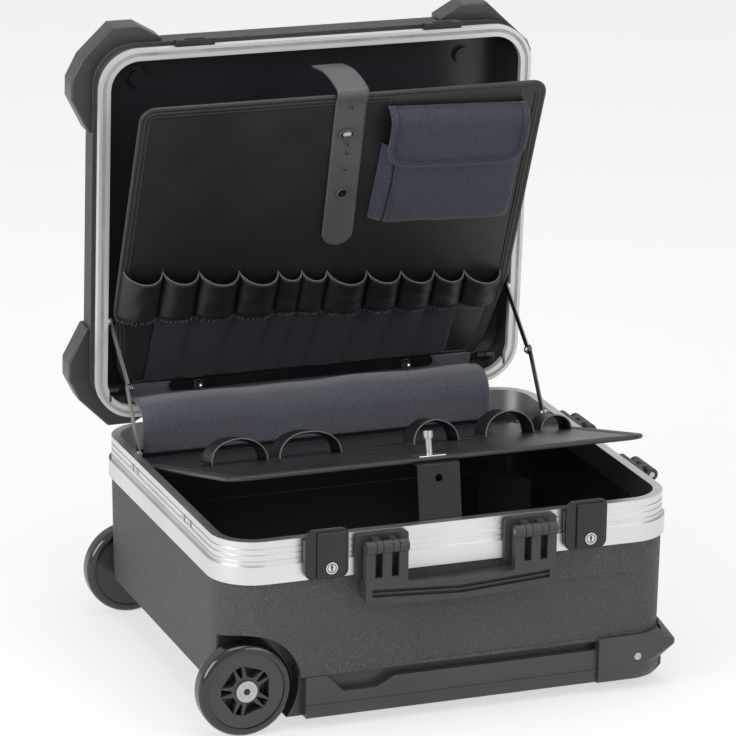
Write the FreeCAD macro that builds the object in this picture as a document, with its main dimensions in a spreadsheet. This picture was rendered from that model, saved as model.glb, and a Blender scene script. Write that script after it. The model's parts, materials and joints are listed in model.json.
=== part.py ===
import FreeCAD, Part
import math
import os
import Sketcher
from FreeCAD import Placement, Rotation, Vector

# Hard tool case on two wheels, open: a base with a trolley handle, a lid, and two boards for tools.
# The origin is at the middle of the tray's flat underside, +Z is up and the front looks along -Y.

doc = FreeCAD.newDocument("ToolCase")
sheet = doc.addObject("Spreadsheet::Sheet", "Sizes")
half = 0.5


class Size:
    """A length in mm with the expression that gives it from the sheet."""

    def __init__(self, value, text):
        self.value = value
        self.text = text

    def __add__(self, other):
        return Size(self.value + other.value, "(%s + %s)" % (self.text, other.text))

    def __sub__(self, other):
        return Size(self.value - other.value, "(%s - %s)" % (self.text, other.text))

    def __mul__(self, share):
        return Size(self.value * share, "(%s * %.9g)" % (self.text, share))

    def __truediv__(self, share):
        return Size(self.value / share, "(%s / %.9g)" % (self.text, share))

    def __neg__(self):
        return Size(-self.value, "(0 - %s)" % self.text)


cells = []


def size(alias, value, note):
    """Write one driving size to the sheet and give it back."""
    cells.append(alias)
    row = len(cells)
    sheet.set("A%d" % row, note)
    sheet.set("B%d" % row, str(value))
    sheet.setAlias("B%d" % row, alias)
    return Size(value, "Sizes." + alias)


zero = Size(0, "0")


def fixed(value):
    """A place that is worked out here from the sizes."""
    return Size(value, "%.9g" % value)


# Sizes of the whole case
case_width = size("case_width", 500, "outer width of base and lid")
case_depth = size("case_depth", 420, "outer depth of base and lid")
corner_radius = size("corner_radius", 45, "outer corner radius seen from above")
rim_height = size("rim_height", 199, "height of the base rim over the tray underside")
overrun = size("overrun", 2, "how far a cut runs past the solid")
touch_gap = size("touch_gap", 0.05, "gap between seated faces")
side_gap = size("side_gap", 0.25, "gap between soft or sliding neighbours")
pin_gap = size("pin_gap", 0.05, "radial clearance round a pin")
open_angle = size("open_angle", 86.6, "how far the lid is open, in degrees")

# Sizes of the base shell and its aluminium band
shell_wall = size("shell_wall", 6.5, "base shell wall at its top")
shell_draft = size("shell_draft", 0.8, "draft of the base shell, in degrees")
floor_thickness = size("floor_thickness", 4, "base floor thickness")
tray_height = size("tray_height", 46.4, "height of the bottom tray")
band_height = size("band_height", 28, "grooved part of the base band")
band_width = size("band_width", 10, "width of the rim")
strip_height = size("strip_height", 17, "smooth strip of the band below the grooves")
strip_proud = size("strip_proud", 3, "how far the strip stands out")
strip_overlap = size("strip_overlap", 2, "how far the strip runs up over the grooved part")
lip_width = size("lip_width", 3, "lip of the shell inside the band")
lip_height = size("lip_height", 10, "height of that lip")
lip_gap = size("lip_gap", 0.2, "gap beside the lip in its slot")
groove_width = size("groove_width", 1.5, "height of a groove in the band")
groove_depth = size("groove_depth", 1, "depth of a groove in the band")
groove_pitch = size("groove_pitch", 6.5, "spacing of the grooves")
groove_first = size("groove_first", 7.6, "first groove below the rim")
rivet_radius = size("rivet_radius", 3.6, "radius of a rivet head")
rivet_proud = size("rivet_proud", 1.2, "height of a rivet head")
panel_depth = size("panel_depth", 2.2, "set back of the front panel")
panel_left = size("panel_left", 39, "left edge of the front panel, left of the middle")
panel_top = size("panel_top", 120, "top of the front panel")
panel_margin = size("panel_margin", 4, "rim left below the front panel")
skirt_drop = size("skirt_drop", 11, "how far the left wall reaches below the tray's top")

# Sizes of the wheels and their arches
wheel_radius = size("wheel_radius", 50, "wheel radius")
wheel_width = size("wheel_width", 24, "wheel width")
wheel_back = size("wheel_back", 224, "axle distance left of the middle")
axle_height = size("axle_height", 38.5, "axle height over the tray underside")
wheel_inset = size("wheel_inset", 3, "outer wheel face inside the front face")
wheel_gap = size("wheel_gap", 9.5, "gap round the wheel in its arch")
arch_depth = size("arch_depth", 32, "depth of a wheel arch")
arch_wall = size("arch_wall", 4.5, "wall round a wheel arch")
hub_radius = size("hub_radius", 41, "radius of the flat wheel face")
hub_inset = size("hub_inset", 1.5, "how far the wheel face lies inside the tyre")
spoke_radius = size("spoke_radius", 27, "outer radius of the gaps between spokes")
spoke_root = size("spoke_root", 15, "inner radius of the gaps between spokes")
tyre_round = size("tyre_round", 7, "rounding of the tyre's shoulders")
axle_radius = size("axle_radius", 5, "axle radius")
axle_head_radius = size("axle_head_radius", 11.6, "washer and head on the axle")
axle_head_height = size("axle_head_height", 3, "height of the axle head")

# Sizes of the bottom tray, its rails and the corner caps
tray_inset = size("tray_inset", 12, "tray wall inside the front face")
tray_wall = size("tray_wall", 4, "tray wall")
bevel_run = size("bevel_run", 44, "length of the bevel at the wheel end")
bevel_height = size("bevel_height", 35.5, "height of the bevel at the wheel end")
tray_chamfer = size("tray_chamfer", 8, "bevel along the tray's right bottom edge")
rail_proud = size("rail_proud", 11, "how far the front rail stands out from the tray")
rail_end = size("rail_end", 160, "left end of the rail")
seam_place = size("seam_place", 165, "seam between rail and corner cap")
rail_high = size("rail_high", 46, "rail top at its left end")
rail_low = size("rail_low", 26.7, "rail top in its dip")
rail_top = size("rail_top", 37, "rail top along its run")
dip_left = size("dip_left", 119, "left end of the dip")
dip_right = size("dip_right", 83, "right end of the dip")
ramp_left = size("ramp_left", 138, "foot of the rail's high end")
ramp_right = size("ramp_right", 63, "end of the ramp out of the dip")
ledge_low = size("ledge_low", 12, "foot of the ledge line along rail and caps")
ledge_height = size("ledge_height", 3, "height of that ledge")
ledge_proud = size("ledge_proud", 1.2, "how far the ledge stands out")
cap_thickness = size("cap_thickness", 4, "thickness of a corner cap's wall")
cap_top = size("cap_top", 50, "top of a corner cap")
cap_reach = size("cap_reach", 95, "how far a cap reaches along the right side")
bumper_round = size("bumper_round", 6, "rounding of a cap's bumper at its tip")
bumper_low = size("bumper_low", 16, "foot of the bumper's slope")
bumper_flat_low = size("bumper_flat_low", 35, "foot of the bumper's face")
bumper_flat_high = size("bumper_flat_high", 40, "top of the bumper's face")
bumper_high = size("bumper_high", 48, "top of the bumper's slope")
screw_radius = size("screw_radius", 4, "cap screw head radius")
screw_recess = size("screw_recess", 2, "depth of the screw's recess")
screw_inset = size("screw_inset", 40, "cap screw from the case's right face")
screw_height = size("screw_height", 26, "cap screw height")
foot_height = size("foot_height", 11.5, "foot height, as far down as the wheels")
pad_step = size("pad_step", 1, "how far the underside's middle pad stands proud of the margin")
pad_length = size("pad_length", 300, "length of the pad")
pad_depth = size("pad_depth", 240, "depth of the pad")
pad_corner = size("pad_corner", 12, "corner radius of the pad")
foot_radius = size("foot_radius", 16, "foot radius")
foot_side = size("foot_side", 60, "foot inside the right face")
foot_inset = size("foot_inset", 60, "feet inside the front and rear faces")

# Sizes of the locks
lock_place = size("lock_place", 143, "lock centre left and right of the middle")
lock_width = size("lock_width", 47, "lock width")
lock_bottom = size("lock_bottom", 155.6, "lock bottom")
lock_rise = size("lock_rise", 11, "how far a lock rises over the rim")
lock_proud = size("lock_proud", 8.4, "lock plate in front of the strip")
lock_round = size("lock_round", 9, "rounding of a lock's corners")
hasp_thickness = size("hasp_thickness", 3.2, "thickness of the lock above the rim")
flap_width = size("flap_width", 31, "lock flap width")
flap_shift = size("flap_shift", 4, "lock flap and key right of the lock's centre")
flap_thickness = size("flap_thickness", 2.6, "lock flap thickness")
flap_bottom = size("flap_bottom", 158.5, "lock flap bottom")
flap_top = size("flap_top", 206, "lock flap top and hinge height")
key_radius = size("key_radius", 6.5, "key cylinder radius")
key_height = size("key_height", 168, "key cylinder height")
key_proud = size("key_proud", 0.8, "how far the key cylinder stands out of its flap")
keyway_width = size("keyway_width", 1.4, "keyway width")
keyway_length = size("keyway_length", 7, "keyway length")

# Sizes of the two handles
handle_proud = size("handle_proud", 17, "handle pin in front of the strip")
pin_drop = size("pin_drop", 12, "handle pins below the rim")
handle_pin_radius = size("handle_pin_radius", 3, "handle pin radius")
ear_radius = size("ear_radius", 7, "outer radius of an ear round the pin")
ear_width = size("ear_width", 10, "width of an ear on the handle")
ear_pitch = size("ear_pitch", 18, "spacing of the ears")
hook_width = size("hook_width", 7, "width of a bracket hook")
bracket_place = size("bracket_place", 82, "bracket centre from the handle's middle")
bracket_width = size("bracket_width", 58, "bracket width")
bracket_bottom_drop = size("bracket_bottom_drop", 49, "bracket bottom below the rim")
bracket_top_drop = size("bracket_top_drop", 1.5, "bracket top below the rim")
bracket_thickness = size("bracket_thickness", 4.5, "bracket plate thickness")
arm_thickness = size("arm_thickness", 10, "thickness of a handle arm")
arm_drop = size("arm_drop", 44, "where the arms part into ears, below the rim")
grip_top_drop = size("grip_top_drop", 49, "top of the grip below the rim")
grip_end_drop = size("grip_end_drop", 71, "grip bottom at its ends, below the rim")
grip_middle_drop = size("grip_middle_drop", 76.5, "grip bottom at the middle, below the rim")
grip_thickness = size("grip_thickness", 18, "grip thickness")
grip_round = size("grip_round", 4, "rounding of the grip's edges")
slot_height = size("slot_height", 3.6, "height of a long slot in the grip")
slot_depth = size("slot_depth", 4, "depth of a long slot in the grip")
slot_pitch = size("slot_pitch", 5, "spacing of the slots in the grip")
slot_length = size("slot_length", 196, "length of a slot in the grip")

# Sizes of the trolley handle
tube_width = size("tube_width", 26, "outer trolley tube width")
tube_height = size("tube_height", 18, "outer trolley tube height")
tube_step = size("tube_step", 2, "how much smaller each trolley stage is on a side")
tube_wall = size("tube_wall", 1.4, "trolley tube wall")
tube_place = size("tube_place", 92, "trolley tubes from the middle")
tube_centre = size("tube_centre", 23, "trolley tube height")
tube_start = size("tube_start", 150, "left end of the trolley tubes")
stage_step = size("stage_step", 4, "how much each stage starts inside the one before")
trolley_grip_width = size("trolley_grip_width", 226, "trolley grip width")
trolley_grip_height = size("trolley_grip_height", 28, "trolley grip height")
trolley_grip_depth = size("trolley_grip_depth", 14, "trolley grip depth")
trolley_grip_round = size("trolley_grip_round", 5, "rounding of the trolley grip")
button_width = size("button_width", 36, "trolley button width")
button_height = size("button_height", 10, "trolley button height")
button_depth = size("button_depth", 6, "trolley button depth")
button_proud = size("button_proud", 3, "how far the button stands out")

# Sizes of the lid
lid_gap = size("lid_gap", 0.5, "gap between lid and rim when closed")
lid_band_height = size("lid_band_height", 7.5, "height of the lid's aluminium band")
lid_band_width = size("lid_band_width", 12.5, "width of the lid's aluminium face")
lid_groove_width = size("lid_groove_width", 1.2, "groove round the side of the lid band")
neck_height = size("neck_height", 17, "recessed neck between lid band and lid side")
neck_inset = size("neck_inset", 4, "how far the neck is set in")
lid_side_height = size("lid_side_height", 26, "upright part of the lid's side")
lid_bevel_height = size("lid_bevel_height", 12, "height of the bevel round the lid's top")
lid_bevel_run = size("lid_bevel_run", 12, "run of the bevel round the lid's top")
lid_wall = size("lid_wall", 5, "thickness of the lid's top")
lid_shell_inset = size("lid_shell_inset", 6, "inner face of the lid shell inside its outer face")
seal_width = size("seal_width", 3, "seal width")
seal_height = size("seal_height", 3, "seal height")
seal_inset = size("seal_inset", 4, "seal from the outer face")
boss_radius = size("boss_radius", 10, "round boss inside the lid")
boss_height = size("boss_height", 6, "height of that boss")
boss_side = size("boss_side", 60, "bosses inside the side faces")
boss_inset = size("boss_inset", 48, "bosses inside the front face when closed")
lid_cap_reach = size("lid_cap_reach", 172, "where a lid cap ends along the front")
lid_cap_side = size("lid_cap_side", 112, "where a lid cap ends along the side")
lid_cap_thickness = size("lid_cap_thickness", 3.5, "thickness of a lid cap")
lid_cap_tip = size("lid_cap_tip", 23, "how far a lid cap's tip stands out")
tip_near = size("tip_near", 171, "tip's near end from the middle, along the side")
tip_far = size("tip_far", 150, "tip's far end from the middle, along the side")
horn_near = size("horn_near", 227, "cap's front corner, outer end")
horn_far = size("horn_far", 199, "cap's front corner, inner end")
horn_proud = size("horn_proud", 19, "how far the cap stands out at the front")
right_horn_shift = size("right_horn_shift", 21, "right caps' horns nearer the middle than the left ones'")
right_cap_tip = size("right_cap_tip", 12, "how far a right cap's tip stands out")
lid_cap_low = size("lid_cap_low", 4, "cap's lower edge above the neck")
catch_width = size("catch_width", 45, "catch width")
catch_height = size("catch_height", 9, "catch height")
catch_proud = size("catch_proud", 7.5, "how far a catch stands out")
catch_slot = size("catch_slot", 4, "slot in a catch for the lock's hook")

# Sizes of the hinges and the lid stays
hinge_back = size("hinge_back", 9, "hinge axis behind the rear face")
hinge_drop = size("hinge_drop", 9, "hinge axis below the rim")
hinge_pin_radius = size("hinge_pin_radius", 2, "hinge pin radius")
knuckle_radius = size("knuckle_radius", 4.4, "hinge knuckle radius")
hinge_place = size("hinge_place", 145, "hinge centres left and right of the middle")
knuckle_length = size("knuckle_length", 16, "length of one hinge knuckle")
knuckle_space = size("knuckle_space", 0.4, "gap between knuckles")
leaf_thickness = size("leaf_thickness", 2.4, "hinge leaf thickness")
leaf_length = size("leaf_length", 22, "how far a hinge leaf reaches")
stay_thickness = size("stay_thickness", 1.5, "thickness of a stay link")
stay_radius = size("stay_radius", 5.5, "end radius of a stay link")
stay_rivet_radius = size("stay_rivet_radius", 2.4, "stay rivet radius")
stay_boss_radius = size("stay_boss_radius", 4.2, "boss behind a stay link")
stay_gap = size("stay_gap", 0.4, "gap beside a stay link")
stay_clear = size("stay_clear", 0.9, "gap between a lower link and the lid band's inner face")
stay_base_inset = size("stay_base_inset", 94, "lower link's pivot inside the rear face")
stay_base_drop = size("stay_base_drop", 5, "lower link's pivot below the rim")
stay_lid_inset = size("stay_lid_inset", 113, "upper link's pivot when closed, inside the rear face")
stay_lid_rise = size("stay_lid_rise", 4.2, "upper link's pivot above the rim when closed")
knuckle_inset = size("knuckle_inset", 53, "stay knuckle when open, inside the rear face")
knuckle_rise = size("knuckle_rise", 57, "stay knuckle above the rim when open")

# Sizes of the upper board and what is sewn to it
board_side = size("board_side", 18.5, "boards' edges inside the side faces")
board_thickness = size("board_thickness", 3.4, "board thickness")
upper_pivot_back = size("upper_pivot_back", 52.5, "upper board's pivot behind the rear face")
upper_pivot_rise = size("upper_pivot_rise", 22, "upper board's pivot above the rim")
upper_length = size("upper_length", 382.5, "upper board from its pivot to its top")
upper_lean = size("upper_lean", 22.5, "lean of the upper board, in degrees")
upper_foot_inset = size("upper_foot_inset", 26.5, "how much narrower the upper board is at its foot")
upper_taper_top = size("upper_taper_top", 115.5, "where the upper board's sides start to draw in")
upper_taper_mid = size("upper_taper_mid", 33, "height of the taper's middle point")
upper_taper_inset = size("upper_taper_inset", 12.5, "how much narrower it is at the taper's middle point")
board_corner = size("board_corner", 16, "corner radius of the boards")
pivot_pin_radius = size("pivot_pin_radius", 2.5, "pivot pin of a board")
upper_lug_inset = size("upper_lug_inset", 5.5, "outer face of the upper board's lugs inside its edge")
upper_pin_inset = size("upper_pin_inset", 13, "outer end of the upper board's pins inside the side face")
pivot_pin_reach = size("pivot_pin_reach", 12, "how far a pivot pin goes into its lug")
lug_thickness = size("lug_thickness", 9, "thickness of a board's pivot lug")
lug_length = size("lug_length", 20, "length of a board's pivot lug")
cloth = size("cloth", 1.8, "thickness of pocket cloth")
seam_width = size("seam_width", 6, "width of the sewn strip between two sleeves")
pocket_top = size("pocket_top", 146.5, "pocket row's top at the middle")
pocket_bottom = size("pocket_bottom", 96.5, "pocket row's bottom at the middle")
pocket_slant = size("pocket_slant", 23, "how much the row's top falls to the right, over the half width")
pocket_foot_slant = size("pocket_foot_slant", 13, "how much the row's bottom falls to the right")
pocket_scallop = size("pocket_scallop", 6, "dip of each pocket's top edge")
lower_pocket_bottom = size("lower_pocket_bottom", 14, "second row's bottom")
lower_pocket_lap = size("lower_pocket_lap", 4, "how far the second row's top lies below the first")
pouch_width = size("pouch_width", 150, "pouch width")
pouch_side = size("pouch_side", 34.5, "pouch inside the upper board's right edge")
pouch_bottom = size("pouch_bottom", 223.5, "pouch's bottom")
pouch_top = size("pouch_top", 366, "pouch's top")
pouch_depth = size("pouch_depth", 19, "how far the pouch stands out")
pouch_mouth = size("pouch_mouth", 312, "height of the pouch's mouth")
pouch_flap_rise = size("pouch_flap_rise", 12, "flap above the pouch's top")
pouch_flap_length = size("pouch_flap_length", 88, "length of the pouch's flap")
pouch_flap_margin = size("pouch_flap_margin", 5, "flap beyond the pouch on each side")
pouch_flap_thickness = size("pouch_flap_thickness", 2.6, "flap thickness")
bar_half = size("bar_half", 157, "half length of the clamp bar")
bar_height = size("bar_height", 13, "clamp bar height")
bar_thickness = size("bar_thickness", 3, "clamp bar thickness")
bar_rise = size("bar_rise", 5.5, "clamp bar's middle above the board's pivot")
button_place = size("button_place", 124, "turn buttons from the middle")
turn_radius = size("turn_radius", 6, "turn button's round base")
turn_base = size("turn_base", 3, "height of a turn button's base")
wing_length = size("wing_length", 12, "length of a turn button's wing")
wing_width = size("wing_width", 2.2, "thickness of a turn button's wing")
wing_height = size("wing_height", 7, "height of a turn button's wing")
strap_width = size("strap_width", 35.5, "strap width")
strap_thickness = size("strap_thickness", 2.4, "strap thickness")
strap_end = size("strap_end", 170, "strap's lower end on the board")
strap_shift = size("strap_shift", 4, "strap's middle right of the board's middle")
strap_stud_place = size("strap_stud_place", 334, "stud on the board through the strap")
stud_radius = size("stud_radius", 5, "stud radius")
stud_height = size("stud_height", 5, "stud height")

# Sizes of the lower board and what it carries
lower_pivot_inset = size("lower_pivot_inset", 20, "lower board's pivot inside the rear face")
lower_pivot_drop = size("lower_pivot_drop", 38, "lower board's pivot below the rim")
lower_length = size("lower_length", 380, "lower board from its pivot to its front")
lower_slope = size("lower_slope", 14.6, "slope of the raised lower board, in degrees")
loop_rise = size("loop_rise", 27, "height of a tool loop")
loop_width = size("loop_width", 34, "width of a tool loop's band")
loop_cloth = size("loop_cloth", 2, "thickness of a tool loop")
post_radius = size("post_radius", 3.4, "post radius")
post_height = size("post_height", 27, "post height")
post_plate = size("post_plate", 30, "post's plate width")
post_inset = size("post_inset", 14, "post from the lower board's front edge")
prop_width = size("prop_width", 47, "front plate width")
prop_lean = size("prop_lean", 9.5, "how far the front plate's top lies inside its foot")
prop_lap = size("prop_lap", 2, "how far the front plate reaches below the rim")
prop_thickness = size("prop_thickness", 2, "front plate thickness")
prop_shift = size("prop_shift", 10.5, "front plate's middle left of the case's middle")
prop_flange = size("prop_flange", 18, "front plate's flange under the board")
prop_front_gap = size("prop_front_gap", 1.8, "gap between front plate and band")

# Sizes of the felt spine panel
felt_side = size("felt_side", 45, "felt panel's edge inside the side faces")
felt_thickness = size("felt_thickness", 3, "felt thickness")
felt_bulge = size("felt_bulge", 10, "where the felt crosses the rim, behind the rear face")
felt_tuck = size("felt_tuck", 11.5, "how far the felt runs below the upper board's pivot")
felt_crown = size("felt_crown", 15.5, "how far the felt rises over the rim")

# Shares of those sizes, and the spokes' gaps as turn and half spread in degrees
rivet_shares = [-0.243, -0.193, 0.186, 0.224]
slot_share = 0.7
arm_front_share = 0.3
bow_share = 0.75
first_slot_share = 1.6
spoke_gaps = [(0, 24), (36, 8)]
spoke_depth_share = 0.6
collar_share = 0.8
cap_edge_share = 0.9
catch_share = 0.4
waist_share = 0.8
knuckle_cap_share = 1.6
pocket_edge_shares = [-0.985, -0.79, -0.608, -0.405, -0.205, -0.085, 0.044, 0.25, 0.427, 0.602, 0.761, 0.955]
pocket_rise_share = 0.42
lower_pocket_rise_share = 0.16
seam_share = 0.6
pouch_round_share = 0.45
bar_round_share = 0.45
wing_round_share = 0.6
root_share = 0.6
root_lift_share = 6
stud_head_share = 0.4
lower_corner_share = 1.5
loop_shares = [(-0.83, -0.56), (-0.5, -0.2), (0.16, 0.38), (0.52, 0.76), (0.8, 0.95)]
loop_row_share = 0.52
post_plate_share = 0.7
post_head_share = 0.7
post_head_width_share = 1.5
prop_hole_share = 0.25
prop_hole_radius_share = 0.8
felt_slope_share = 0.72
felt_bend_share = 1.6
felt_back_share = 0.7
felt_front_share = 0.6

# Places worked out from the sizes
half_width = case_width / 2
half_depth = case_depth / 2
band_bottom = rim_height - band_height
strip_bottom = band_bottom - strip_height
front_strip = half_depth + strip_proud
lid_bottom = rim_height + lid_gap
neck_bottom = lid_bottom + lid_band_height
side_bottom = neck_bottom + neck_height
bevel_bottom = side_bottom + lid_side_height
lid_top = bevel_bottom + lid_bevel_height
hinge_y = half_depth + hinge_back
hinge_z = rim_height - hinge_drop
pin_height = rim_height - pin_drop
bracket_bottom = rim_height - bracket_bottom_drop
bracket_top = rim_height - bracket_top_drop
arm_top = rim_height - arm_drop
grip_top = rim_height - grip_top_drop
grip_end = rim_height - grip_end_drop
grip_middle = rim_height - grip_middle_drop
lower_pivot_height = rim_height - lower_pivot_drop
stay_base_y = half_depth - stay_base_inset
stay_lid_y = half_depth - stay_lid_inset
knuckle_y = half_depth - knuckle_inset
foot_x = half_width - foot_side
foot_y = half_depth - foot_inset
felt_half = half_width - felt_side
board_half = half_width - board_side
upper_lug_side = board_half - upper_lug_inset
upper_pin_side = half_width - upper_pin_inset
upper_foot = board_half - upper_foot_inset
upper_taper_half = board_half - upper_taper_inset
pouch_right = board_half - pouch_side
boss_x = half_width - boss_side
boss_y = half_depth - boss_inset
pouch_left = pouch_right - pouch_width
stay_lower_side = half_width - lid_band_width - stay_clear - stay_thickness
hinge_axis = Vector(0, hinge_y.value, hinge_z.value)
lid_pose = Placement(Vector(0, 0, 0), Rotation(Vector(1, 0, 0), -open_angle.value), hinge_axis)
made = []


def finish_body(item, label):
    """Name a sub-part and keep it for the files."""
    item.Label = label
    made.append(item)
    return item


def body(label):
    """Start a sub-part that is built from sketches."""
    return finish_body(doc.addObject("PartDesign::Body", label), label)


def solid(label, shape, pose=None):
    """Keep a shape made with lofts or arcs as a sub-part."""
    item = finish_body(doc.addObject("Part::Feature", label), label)
    item.Shape = shape
    if pose:
        item.Placement = pose
    return item


def bind(sketch, constraint, value):
    number = sketch.addConstraint(constraint)
    sketch.setExpression("Constraints[%d]" % number, value.text)


def outline(points):
    """A closed outline of straight lines through the given places."""
    def draw(sketch):
        first = sketch.GeometryCount
        count = len(points)
        for i in range(count):
            a, b = points[i], points[(i + 1) % count]
            start = Vector(a[0].value, a[1].value, 0)
            end = Vector(b[0].value, b[1].value, 0)
            sketch.addGeometry(Part.LineSegment(start, end), False)
        for i in range(count):
            line = first + i
            sketch.addConstraint(Sketcher.Constraint("Coincident", line, 2, first + (i + 1) % count, 1))
            across = Sketcher.Constraint("DistanceX", -1, 1, line, 1, points[i][0].value)
            along = Sketcher.Constraint("DistanceY", -1, 1, line, 1, points[i][1].value)
            bind(sketch, across, points[i][0])
            bind(sketch, along, points[i][1])
    return draw


def box(left, low, right, high):
    return outline([(left, low), (right, low), (right, high), (left, high)])


def rounded(wide, tall, radius):
    """A rectangle with round corners about the middle of the sketch."""
    def draw(sketch):
        first = sketch.GeometryCount
        x, y, r = wide.value / 2, tall.value / 2, radius.value
        corners = [(x, -y), (x, y), (-x, y), (-x, -y)]
        turns = [(1, 0), (0, 1), (-1, 0), (0, -1)]
        for i, (cx, cy) in enumerate(corners):
            before, after = turns[i], turns[(i + 1) % 4]
            last = corners[i - 1]
            start = Vector(last[0] + before[0] * r, last[1] + before[1] * r, 0)
            end = Vector(cx - before[0] * r, cy - before[1] * r, 0)
            sketch.addGeometry(Part.LineSegment(start, end), False)
            centre = end + Vector(after[0], after[1], 0) * r
            angle = math.radians(90 * i - 90)
            arc = Part.ArcOfCircle(Part.Circle(centre, Vector(0, 0, 1), r), angle, angle + math.pi / 2)
            sketch.addGeometry(arc, False)
        for i in range(4):
            line, arc, after = first + 2 * i, first + 2 * i + 1, first + (2 * i + 2) % 8
            sketch.addConstraint(Sketcher.Constraint("Tangent", line, 2, arc, 1))
            sketch.addConstraint(Sketcher.Constraint("Tangent", arc, 2, after, 1))
            bind(sketch, Sketcher.Constraint("Radius", arc, r), radius)
        for i, way in enumerate(("Horizontal", "Vertical", "Horizontal", "Vertical")):
            sketch.addConstraint(Sketcher.Constraint(way, first + 2 * i))
        bind(sketch, Sketcher.Constraint("DistanceY", -1, 1, first, 1, -y), -(tall / 2))
        bind(sketch, Sketcher.Constraint("DistanceY", -1, 1, first + 4, 1, y), tall / 2)
        bind(sketch, Sketcher.Constraint("DistanceX", -1, 1, first + 2, 1, x), wide / 2)
        bind(sketch, Sketcher.Constraint("DistanceX", -1, 1, first + 6, 1, -x), -(wide / 2))
    return draw


def ring_shape(wide, tall, radius, inset):
    """Two rounded rectangles, the inner one set in all round."""
    outer = rounded(wide, tall, radius)
    inner = rounded(wide - inset * 2, tall - inset * 2, radius - inset)

    def draw(sketch):
        outer(sketch)
        inner(sketch)
    return draw


def disc(x, y, radius):
    """A circle at a place in the sketch."""
    def draw(sketch):
        centre = Vector(x.value, y.value, 0)
        number = sketch.addGeometry(Part.Circle(centre, Vector(0, 0, 1), radius.value), False)
        bind(sketch, Sketcher.Constraint("Radius", number, radius.value), radius)
        bind(sketch, Sketcher.Constraint("DistanceX", -1, 1, number, 3, x.value), x)
        bind(sketch, Sketcher.Constraint("DistanceY", -1, 1, number, 3, y.value), y)
    return draw


def sketch_on(part, plane, offset, shapes):
    """A sketch on one of the body's own planes, moved along the plane's normal."""
    role = plane + "_Plane"
    origin = [o for o in part.Origin.OriginFeatures if o.Role == role][0]
    sketch = part.newObject("Sketcher::SketchObject", part.Label + "_sketch")
    sketch.AttachmentSupport = [(origin, "")]
    sketch.MapMode = "FlatFace"
    sketch.setExpression("AttachmentOffset.Base.z", offset.text)
    for draw in shapes:
        draw(sketch)
    return sketch


def add(part, plane, low, high, *shapes):
    """Fill the shapes between two places on the axis that is square to the plane."""
    offset = -high if plane == "XZ" else low
    sketch = sketch_on(part, plane, offset, shapes)
    pad = part.newObject("PartDesign::Pad", part.Label + "_pad")
    pad.Profile = sketch
    pad.setExpression("Length", (high - low).text)
    return pad


def cut(part, plane, low, high, *shapes):
    """Take the shapes away between two places on the axis that is square to the plane."""
    offset = -low if plane == "XZ" else high
    sketch = sketch_on(part, plane, offset, shapes)
    doc.recompute()
    before = part.Shape.Volume
    pocket = part.newObject("PartDesign::Pocket", part.Label + "_pocket")
    pocket.Profile = sketch
    pocket.setExpression("Length", (high - low).text)
    doc.recompute()
    if part.Shape.Volume >= before:
        raise ValueError("a pocket of %s cuts nothing" % part.Label)
    return pocket


def soften(part, kind, amount, picks):
    """Round or bevel the edges that the test picks."""
    doc.recompute()
    names = ["Edge%d" % (i + 1) for i, edge in enumerate(part.Shape.Edges) if picks(edge)]
    before = part.Tip
    feature = part.newObject("PartDesign::" + kind, part.Label + "_" + kind)
    feature.Base = (before, names)
    feature.setExpression("Radius" if kind == "Fillet" else "Size", amount.text)
    return feature


def along(edge, axis):
    """Whether a straight edge runs along an axis, given as 0, 1 or 2."""
    a, b = edge.Vertexes[0].Point, edge.Vertexes[-1].Point
    gap = b - a
    return gap.Length > 0 and abs(gap[axis]) > gap.Length * (1 - 1e-6)


def near(edge, axis, place):
    """Whether all of an edge lies at a place along an axis."""
    bounds = edge.BoundBox
    low = (bounds.XMin, bounds.YMin, bounds.ZMin)[axis]
    high = (bounds.XMax, bounds.YMax, bounds.ZMax)[axis]
    return abs(low - place.value) < pin_gap.value and abs(high - place.value) < pin_gap.value


def wire_of(edges):
    return Part.Wire(Part.__sortEdges__(edges))


def line(a, b):
    return Part.LineSegment(a, b).toShape()


def arc(a, b, c):
    return Part.Arc(a, b, c).toShape()


def polygon_face(points):
    return Part.Face(Part.makePolygon(points + [points[0]]))


def round_wire(wide, tall, radius, height):
    """A closed wire round a rectangle with round corners, at a height."""
    x, y, r = wide / 2, tall / 2, radius
    slant = r * (1 - math.sqrt(half))
    edges = []
    for side_x, side_y in ((1, -1), (1, 1), (-1, 1), (-1, -1)):
        a = Vector(side_x * (x - r), side_y * y, height)
        b = Vector(side_x * (x - slant), side_y * (y - slant), height)
        c = Vector(side_x * x, side_y * (y - r), height)
        edges.append(arc(a, b, c))
    for side in (1, -1):
        edges.append(line(Vector(-x + r, side * y, height), Vector(x - r, side * y, height)))
        edges.append(line(Vector(side * x, -y + r, height), Vector(side * x, y - r, height)))
    return wire_of(edges)


def hull(sections):
    """A straight-sided solid through rounded rectangles given as width, depth, radius and height."""
    wires = [round_wire(*section) for section in sections]
    return Part.makeLoft(wires, True, True)


def block(x0, y0, z0, x1, y1, z1):
    return Part.makeBox(x1 - x0, y1 - y0, z1 - z0, Vector(x0, y0, z0))


def rod(centre, way, radius, length):
    return Part.makeCylinder(radius, length, centre, way)


def arch_shapes():
    """The two wheel arches' circle in the side view."""
    return disc(-wheel_back, axle_height, wheel_radius + wheel_gap)


def cut_arches(part, reach):
    arch_wall_y = half_depth - arch_depth
    cut(part, "XZ", -(half_depth + reach), -arch_wall_y, arch_shapes())
    cut(part, "XZ", arch_wall_y, half_depth + reach, arch_shapes())


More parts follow.
